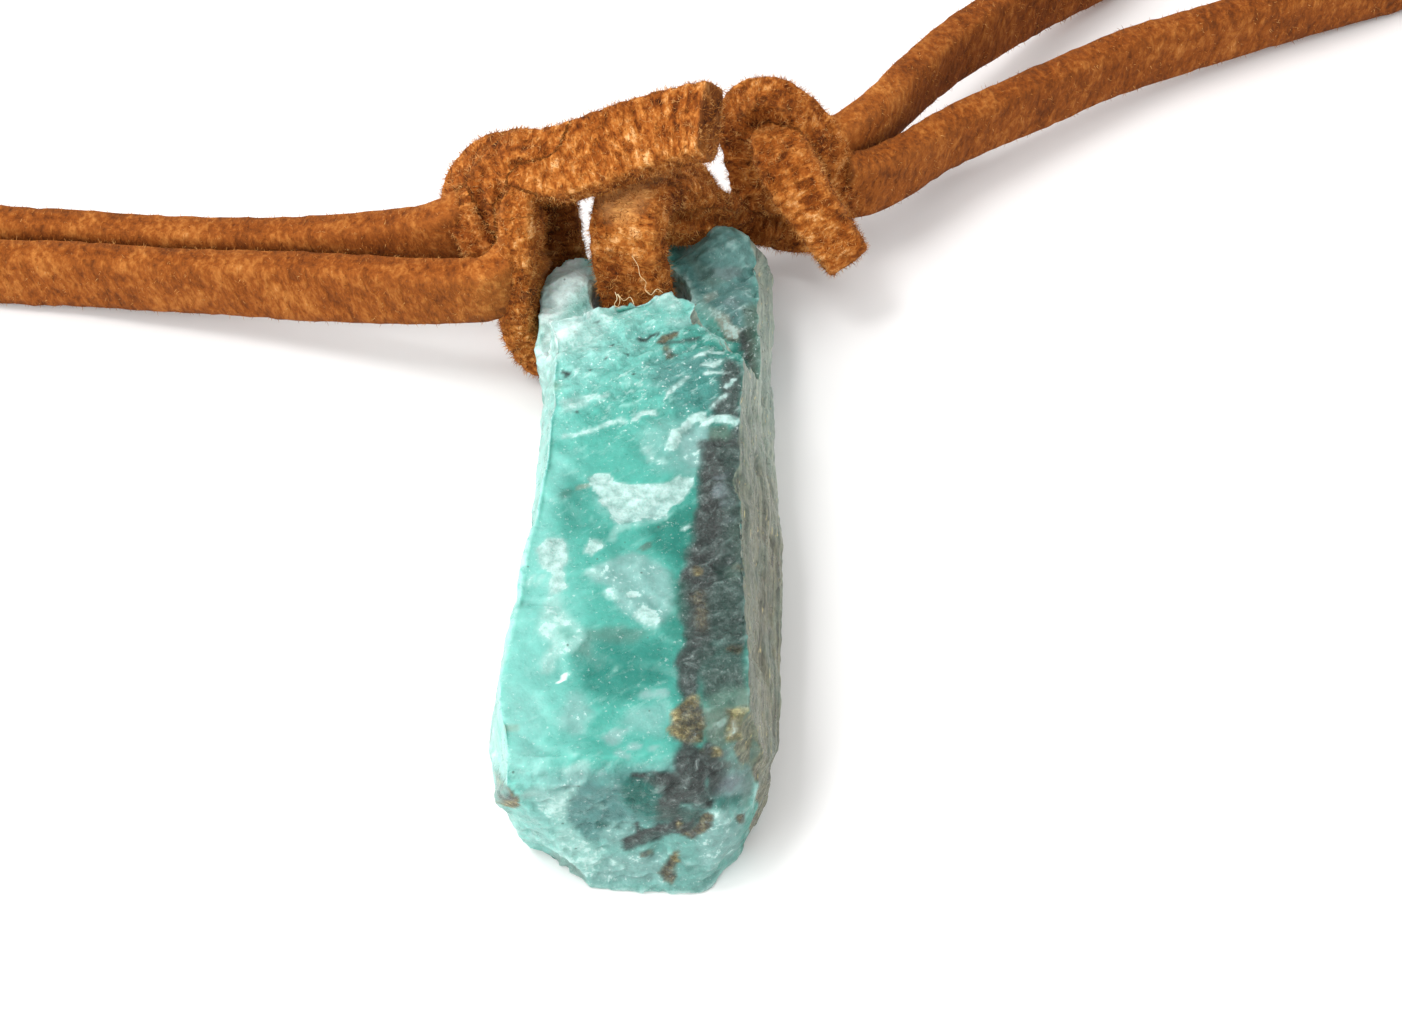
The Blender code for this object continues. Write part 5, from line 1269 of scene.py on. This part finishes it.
    ("ink", 0.9, 0.05, 0.09, [(-3.05, 4.25), (-2.95, 4.18)]),
    ("ink", 0.85, 0.06, 0.09, [(-3.94, 1.47), (-3.87, 1.66)]),
    ("lichen", 0.75, 0.2, 0, [(3.62, 7.6), (4.8, 7.6), (4.8, 3.2), (3.85, 3.4), (3.75, 5.5)]),
    ("frost", 0.55, 0.3, 0.12, [(-3.3, 6.8), (-2.6, 7.1), (-1.8, 7.6), (-0.9, 7.95), (-0.1, 8.15),
     (0.9, 8.55), (1.6, 8.1), (2.3, 7.2)]),
    ("coal", 0.8, 0.15, 0.12, [(-0.48, -16.43), (0.29, -16.11), (0.89, -15.84), (1.63, -15.76)]),
    ("ink", 0.7, 0.1, 0, [(-5.02, -13.91), (-4.82, -13.83), (-4.64, -14.32), (-4.38, -14.72),
     (-4.78, -14.88), (-4.96, -14.6)]),
    ("lichen", 0.8, 0.3, 0, [(3.42, -10.2), (3.94, -10.2), (4.5, -14.72), (4.15, -15.91), (3.58, -15.12),
     (3.5, -12.69)]),
    ("brass", 0.8, 0.12, 0, [(3.34, -12.08), (3.61, -11.99), (3.68, -12.49), (3.43, -12.69)]),
    ("brass", 0.8, 0.12, 0, [(2.34, -12.61), (2.62, -12.57), (2.65, -12.94), (2.38, -12.98)]),
    ("ink", 0.7, 0.12, 0, [(2.1, -12.41), (2.34, -12.36), (2.38, -12.78), (2.14, -12.86)]),
]
# Ink specks: place and half width
inkSpecks = [
    ((-3.48, 5.41), 0.05), ((-2.49, 2.32), 0.04), ((-3.52, 2.18), 0.03), ((-1.36, 5.56), 0.03),
    ((-1.99, 6.68), 0.03), ((-1.5, 4.95), 0.03), ((-0.74, 5.1), 0.03), ((-0.46, 4.1), 0.04),
    ((-2.1, 4.38), 0.03),
]
marks += [("ink", 0.8, 0.05, half, [(u, v), (u + 0.03, v - 0.02)]) for (u, v), half in inkSpecks]
# Marks that are also raised or sunk, in millimetres, and how rough they are
raisedMarks = [(bruise, -0.10, 0.10), (arc, 0.12, 0.05), (lens, -0.05, 0.0), (cloud, 0.04, 0.10)]


def distanceTo(points, u, v, closed):
    # Signed distance to an outline, or plain distance to a line of points
    path = list(points) + ([points[0]] if closed else [])
    nearest = np.full(len(u), 1e9)
    inside = np.zeros(len(u), dtype=bool)
    for (ax, ay), (bx, by) in zip(path, path[1:]):
        ex, ey = bx - ax, by - ay
        t = np.clip(((u - ax) * ex + (v - ay) * ey) / (ex * ex + ey * ey + 1e-9), 0.0, 1.0)
        nearest = np.minimum(nearest, np.hypot(u - ax - ex * t, v - ay - ey * t))
        if closed and ay != by:
            crosses = ((ay > v) != (by > v)) & (u < ex * (v - ay) / (by - ay) + ax)
            inside ^= crosses
    return np.where(inside, -nearest, nearest) if closed else nearest


def markShare(mark, u, v):
    strength, soft, width, points = mark[1:]
    if width:
        away = distanceTo(points, u, v, False)
        return strength * (1.0 - smoothAll(away, width, width + soft))
    return strength * (1.0 - smoothAll(distanceTo(points, u, v, True), -soft, soft))


def seenPlane(places, normals):
    # Where each vertex shows on the front face's plane, and how far it faces the camera
    eye = np.array(view["place"])
    scale = (eye[2] - stone["height"] + 0.1) / (eye[2] - places[:, 2])
    u = eye[0] + (places[:, 0] - eye[0]) * scale
    v = eye[1] + (places[:, 1] - eye[1]) * scale
    toEye = eye - places
    toEye /= np.linalg.norm(toEye, axis=1)[:, None]
    facing = (normals * toEye).sum(axis=1)
    seen = smoothAll(facing, 0.0, 0.22) * (1.0 - smoothAll(normals[:, 0], 0.66, 0.85))
    return u, v, seen


def calmShare(v):
    # The middle of the face is smooth; the drilled end and the wide end are rough
    return (1.0 - smoothAll(v, 0.5, 3.5)) * smoothAll(v, -14.0, -12.5)


def stoneTint(colour):
    # A colour as it shows in daylight, as the colour of the mineral itself
    # Painted highlights and glints keep their full brightness
    if colour in ("snow", "white"):
        return np.array(tint(palette[colour])[:3])
    return np.maximum((np.array(tint(palette[colour])[:3]) - depth["gloss"]) * depth["share"],
                      depth["least"])


def blend(tone, share, colour):
    return tone + (stoneTint(colour) - tone) * share[:, None]


def paintStone(mesh):
    places, normals = readPoints(mesh)
    normals = easedNormals(mesh, normals, 14)
    y, z = places[:, 1], places[:, 2]
    broad = noiseAt(places, 0.30, (1.0, 4.0, 0.0))
    mid = noiseAt(places, 1.1, (8.0, 1.0, 2.0))
    fine = noiseAt(places, 2.8, (3.0, 3.0, 3.0))
    u, v, seen = seenPlane(places, normals)
    count = len(places)
    # The whole crystal first: teal heart, pale skin, mica and pyrite in places
    tone = np.tile(stoneTint("jade"), (count, 1))
    tone = blend(tone, smoothAll(broad + 0.4 * mid, 0.0, 0.45) * 0.8, "deep")
    tone = blend(tone, smoothAll(-broad + 0.5 * mid, 0.0, 0.5) * 0.8, "mint")
    tone = blend(tone, smoothAll(mid + 0.6 * fine, 0.25, 0.5) * 0.7, "frost")
    vein = noiseAt(places, (0.55, 0.28, 0.55), (6.0, 6.0, 1.0))
    rock = smoothAll(vein + 0.35 * fine, 0.26, 0.46) * 0.75 * smoothAll(y, -13.5, -11.0)
    tone = blend(tone, rock, "slate")
    # The skin that shows in front
    face = np.tile(stoneTint("aqua"), (count, 1))
    face = blend(face, smoothAll(u + 0.5 * mid, -3.9, -1.4), "teal")
    face = blend(face, 0.65 * smoothAll(u + 0.6 * mid, 0.2, 2.0), "deep")
    shoulder = smoothAll(v + 0.6 * mid, 0.8, 5.0) * (1.0 - smoothAll(u, -1.0, 2.6))
    face = blend(face, 0.75 * shoulder, "aqua")
    tone += (face - tone) * seen[:, None]
    rock *= 1.0 - seen
    metal = np.zeros(count)
    chalk = np.zeros(count)
    wu = u + 0.13 * mid + 0.10 * fine
    wv = v + 0.13 * noiseAt(places, 1.1, (2.0, 7.0, 4.0)) + 0.10 * noiseAt(places, 2.8, (9.0, 1.0, 4.0))
    for mark in marks:
        share = markShare(mark, wu, wv) * seen
        tone = blend(tone, share, mark[0])
        rock += (rocky.get(mark[0], 0.0) - rock) * share
        metal += (metallic.get(mark[0], 0.0) - metal) * share
        chalk += (chalky.get(mark[0], 0.0) - chalk) * share
    # Left side whitened: pale skin and a painted highlight where the light from the left falls; right side
    # olive with lengthwise grain
    left = smoothAll(-normals[:, 0], 0.35, 0.75)
    tone = blend(tone, 0.8 * left * smoothAll(0.5 + mid, -0.1, 0.5), "frost")
    rust = left * smoothAll(broad + 0.5 * mid - 0.12 * (z - 2.0), 0.05, 0.35) * (y < 0.0)
    tone = blend(tone, 0.55 * rust, "umber")
    right = smoothAll(normals[:, 0] + 0.05 * mid, 0.50, 0.85) * smoothAll(y + 0.4 * mid, -12.9, -11.7)
    field = mesh.attributes.new("tone", "FLOAT_COLOR", "POINT")
    rgba = np.concatenate((tone, np.ones((count, 1))), axis=1)
    field.data.foreach_set("color", rgba.astype(np.float32).ravel())
    addField(mesh, "rock", rock * (1.0 - right))
    addField(mesh, "metal", metal)
    addField(mesh, "chalk", chalk)
    addField(mesh, "olive", right)
    addField(mesh, "calm", seen * calmShare(v) * (1.0 - rock) * (1.0 - right))
    top = smoothAll(v, -1.0, 3.5) * (1.0 - 0.8 * smoothAll(v, 7.8, 9.6))
    top = np.maximum(top, 0.22 + 0.10 * smoothAll(-v, 12.5, 14.0))
    addField(mesh, "sugar", seen * top * (1.0 - 0.6 * chalk))
    hollow = hollowDepth(mesh, 10)
    addField(mesh, "worn", smoothAll(-hollow, 0.035, 0.15) * (1.0 - 0.7 * metal) * (1.0 - 0.6 * rock))
    addField(mesh, "hollow", smoothAll(hollow, 0.02, 0.14))


relief = {
    "crust": 0.06, "calmed": 0.75, "grooves": 0.04, "ledges": 0.085, "chips": 0.13,
    "contact": 0.02, "tuck": 0.6,        # the foot: flat below this height, and drawn in by this
}


def fineRelief(mesh):
    # Crystal steps, chips and grooves too fine for the solid
    places, normals = readPoints(mesh)
    normals = easedNormals(mesh, normals, 4)
    u, v, seen = seenPlane(places, normals)
    side = smoothAll(np.abs(normals[:, 0]), 0.6, 0.85)
    crust = 1.0 - relief["calmed"] * seen * calmShare(v) * (1.0 - smoothAll(u, 1.6, 2.6))
    sugar = noiseAt(places, 1.9) * 0.6 + noiseAt(places, 4.4, (2.0, 2.0, 2.0)) * 0.5
    lift = relief["crust"] * sugar * crust
    grooves = noiseAt(places, (2.6, 0.10, 3.4)) + 0.6 * noiseAt(places, (5.0, 0.22, 7.0), (4.0, 4.0, 4.0))
    lift += relief["grooves"] * side * grooves
    # Slanting ledges across the face
    slant = np.stack((u * 0.80 + v * 0.60, v * 0.80 - u * 0.60, places[:, 2]), axis=1)
    ledges = noiseAt(slant, (0.45, 1.7, 0.8), (0.0, 6.0, 0.0))
    lift += relief["ledges"] * seen * crust * np.clip(1.0 - np.abs(ledges) * 4.0, 0.0, 1.0)
    chips = noiseAt(slant, (0.9, 2.2, 1.0), (3.0, 1.0, 5.0))
    lift -= relief["chips"] * crust * (1.0 - side) * smoothAll(chips, 0.15, 0.45)
    lumpy = noiseAt(places, 2.2, (5.0, 5.0, 1.0))
    for mark, rise, rough in raisedMarks:
        lift += seen * markShare(mark, u, v) * (rise + rough * lumpy)
    places += normals * lift[:, None]
    # What would lie below the floor is drawn in under the stone
    sunk = relief["tuck"] * smoothAll(relief["contact"] - places[:, 2], 0.0, 0.2)
    places[:, :2] -= normals[:, :2] * sunk[:, None]
    places[:, 2] = np.where(places[:, 2] < relief["contact"], 0.0, places[:, 2])
    writePoints(mesh, places)


crystalLook = {
    # Among these is the white of the painted glints on the sugary crystal
    "vein": "#d9f4ef", "slant": -37.0, "sparkleWhite": "#f4fffc", "bruise": "#d3efe9", "speck": "#3c4a44",
    "gilt": "#d8c98c", "green": "#5f8278", "hollow": (0.45, 0.62, 0.6, 1.0),
    "powder": ((0.36, "#7fa8a0"), (0.48, "#9fc3bc"), (0.62, "#bddad5")),
    "mica": ((0.34, "#151817"), (0.46, "#303634"), (0.55, "#4b5552"), (0.64, "#76827f"), (0.72, "#b9c4c0")),
    "olive": ((0.34, "#33342a"), (0.44, "#57594a"), (0.54, "#74745f"), (0.66, "#90907a")),
    "sage": ((0.36, "#6c7a72"), (0.5, "#8e9c90"), (0.64, "#aeb8a8")),
    "pyrite": ((0.38, "#2b2418"), (0.48, "#6d5c38"), (0.58, "#b5a873"), (0.66, "#efe9bd")),
    "ior": 1.56, "specular": 0.32, "glow": 0.3, "glowRadius": (0.4, 1.0, 0.85), "glowDepth": 0.9,
}


def weathered(tree, coords, fine, grain, sugar, crust):
    # The painted tone, clouded by the crust, with slanting veins, and bright specks that are painted glints
    # on the sugary crystal
    cloudy = plus(tree, times(tree, crust, 0.90), 0.40)
    shade = plus(tree, centred(tree, fine, cloudy), 1.0)
    colour = mixNode(tree, 1.0, fieldNode(tree, "tone", "Color"), shade, "MULTIPLY")
    slant = stretched(tree, coords, (1.0, 1.0, 1.0), crystalLook["slant"])
    veins = noiseNode(tree, slant, 2.2, 6.0, 0.7, stretch=(0.6, 1.6, 1.0))
    veins = times(tree, rangeNode(tree, veins, 0.54, 0.66), times(tree, sugar, 0.35))
    colour = mixNode(tree, veins, colour, tint(crystalLook["vein"]))
    # Painted glints: tiny bright specks of reflected light, most where the crystal is sugary
    paintedSparkles = times(tree, rangeNode(tree, grain, 0.61, 0.68), plus(tree, times(tree, sugar, 0.6), 0.10))
    return mixNode(tree, paintedSparkles, colour, tint(crystalLook["sparkleWhite"]))


def bruised(tree, colour, chalk, fine, grain):
    # White crumbs in the bruised patches, pale edges and bumps, deeper hollows
    crumbling = plus(tree, centred(tree, fine, 1.5), centred(tree, grain, 0.9))
    crumbs = rangeNode(tree, plus(tree, chalk, crumbling), 0.42, 0.58, 0.0, 0.7)
    crumbs = times(tree, crumbs, rangeNode(tree, chalk, 0.03, 0.25))
    colour = mixNode(tree, crumbs, colour, rampNode(tree, fine, crystalLook["powder"]))
    worn = times(tree, fieldNode(tree, "worn"), rangeNode(tree, fine, 0.35, 0.6, 0.05, 0.42))
    colour = mixNode(tree, worn, colour, tint(crystalLook["bruise"]))
    deeper = mixNode(tree, 1.0, colour, crystalLook["hollow"], "MULTIPLY")
    return mixNode(tree, times(tree, fieldNode(tree, "hollow"), 0.45), colour, deeper)


def speckled(tree, coords, colour, rock):
    # Mottling of the dark mica, and single dark grains everywhere
    flakes = noiseNode(tree, coords, 2.9, 7.0, 0.72, distortion=0.5)
    colour = mixNode(tree, times(tree, rock, 0.55), colour, rampNode(tree, flakes, crystalLook["mica"]))
    specks = rangeNode(tree, cellNode(tree, coords, 1.15), 0.075, 0.035)
    return mixNode(tree, times(tree, specks, 0.6), colour, tint(crystalLook["speck"]))


def flankColour(tree, coords):
    # Sage to olive, with dark and golden threads along the crystal, grey-green nearer the face
    streaks = noiseNode(tree, coords, 2.6, 6.0, 0.72, stretch=(1.8, 0.10, 2.6))
    split = tree.nodes.new("ShaderNodeSeparateXYZ")
    tree.links.new(coords, split.inputs["Vector"])
    olive, sage = (rampNode(tree, streaks, crystalLook[name]) for name in ("olive", "sage"))
    flank = mixNode(tree, rangeNode(tree, split.outputs["Y"], -3.0, 7.0), olive, sage)
    patches = noiseNode(tree, coords, 0.7, 4.0, 0.6, stretch=(1.0, 0.5, 1.0))
    green = mathNode(tree, "MAXIMUM", times(tree, rangeNode(tree, patches, 0.46, 0.64), 0.5),
                     times(tree, rangeNode(tree, split.outputs["Z"], 4.0, 6.5), 0.4))
    flank = mixNode(tree, green, flank, mixNode(tree, 0.45, flank, tint(crystalLook["green"])))
    gilt = noiseNode(tree, coords, 5.0, 4.0, 0.7, stretch=(1.5, 0.3, 1.5))
    gilt = times(tree, rangeNode(tree, gilt, 0.62, 0.68), 0.7)
    return mixNode(tree, gilt, flank, tint(crystalLook["gilt"]))


def makeEmeraldMaterial():
    mat, tree, shader = newMaterial("raw_emerald")
    coords = objectCoords(tree)
    fine = noiseNode(tree, coords, 2.6, 7.0, 0.62)
    grain = noiseNode(tree, coords, 7.0, 5.0, 0.65)
    rock, sugar = fieldNode(tree, "rock"), fieldNode(tree, "sugar")
    chalk, metal = fieldNode(tree, "chalk"), fieldNode(tree, "metal")
    crust = mathNode(tree, "MAXIMUM", sugar, mathNode(tree, "MAXIMUM", rock, chalk))
    crust = mathNode(tree, "MAXIMUM", crust, mathNode(tree, "SUBTRACT", 1.0, fieldNode(tree, "calm")))
    colour = weathered(tree, coords, fine, grain, sugar, crust)
    colour = bruised(tree, colour, chalk, fine, grain)
    colour = speckled(tree, coords, colour, rock)
    side = plus(tree, fieldNode(tree, "olive"), centred(tree, fine, 0.35))
    colour = mixNode(tree, rangeNode(tree, side, 0.35, 0.65), colour, flankColour(tree, coords))
    gold = rampNode(tree, noiseNode(tree, coords, 3.6, 5.0, 0.75), crystalLook["pyrite"])
    colour = mixNode(tree, times(tree, metal, 0.7), colour, gold)
    tree.links.new(colour, shader.inputs["Base Color"])
    tree.links.new(times(tree, metal, 0.45), shader.inputs["Metallic"])
    rough = plus(tree, rangeNode(tree, fine, 0.3, 0.75, 0.24, 0.50), times(tree, chalk, 0.3))
    tree.links.new(rough, shader.inputs["Roughness"])
    shader.inputs["IOR"].default_value = crystalLook["ior"]
    shader.inputs["Specular IOR Level"].default_value = crystalLook["specular"]
    shader.inputs["Subsurface Weight"].default_value = crystalLook["glow"]
    shader.inputs["Subsurface Radius"].default_value = crystalLook["glowRadius"]
    shader.inputs["Subsurface Scale"].default_value = crystalLook["glowDepth"] * mm
    height = plus(tree, times(tree, crust, 0.8), 0.2)
    pits = cellNode(tree, coords, 2.6, stretch=(1.0, 0.8, 1.0))
    soft = bumpNode(tree, pits, times(tree, height, 0.3), 0.10)
    shaped = bumpNode(tree, fine, times(tree, height, 0.7), 0.20, soft)
    tree.links.new(bumpNode(tree, grain, times(tree, height, 0.6), 0.07, shaped), shader.inputs["Normal"])
    return mat


def makeStone():
    obj = makeBlank()
    beyond = [(stone["reach"], stone["past"]), (-stone["reach"], stone["past"])]
    start = stone["recessStart"]
    recess = [(-stone["reach"], start), (stone["reach"], start + stone["recessSlant"])] + beyond
    cutBy(obj, [prism("slabCut", breakEdge + beyond, stone["breakFloor"], stone["cutTop"]),
                prism("ledgeCut", ledgeEdge, level(stone["ledgeHeight"]), stone["cutTop"]),
                prism("recessCut", recess, level(stone["cutBottom"]), stone["recessHeight"])])
    voxelRemesh(obj, stone["voxel"])
    shapeStone(obj.data)
    bm = bmesh.new()
    bmesh.ops.create_cone(bm, cap_ends=True, segments=stone["holeSides"],
                          radius1=stone["holeRadius"] * mm, radius2=stone["holeRadius"] * mm,
                          depth=stone["holeDepth"] * mm)
    bmesh.ops.translate(bm, vec=(stone["hole"][0] * mm, stone["hole"][1] * mm, 0), verts=bm.verts)
    cutBy(obj, [addObject(bm, "holeCut")])
    fineRelief(obj.data)
    paintStone(obj.data)
    obj.data.shade_smooth()
    obj.data.materials.append(makeEmeraldMaterial())
    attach(obj, "root")
    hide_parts("emerald")
    return obj


crystal = makeStone()
print("stone ready", len(crystal.data.polygons))
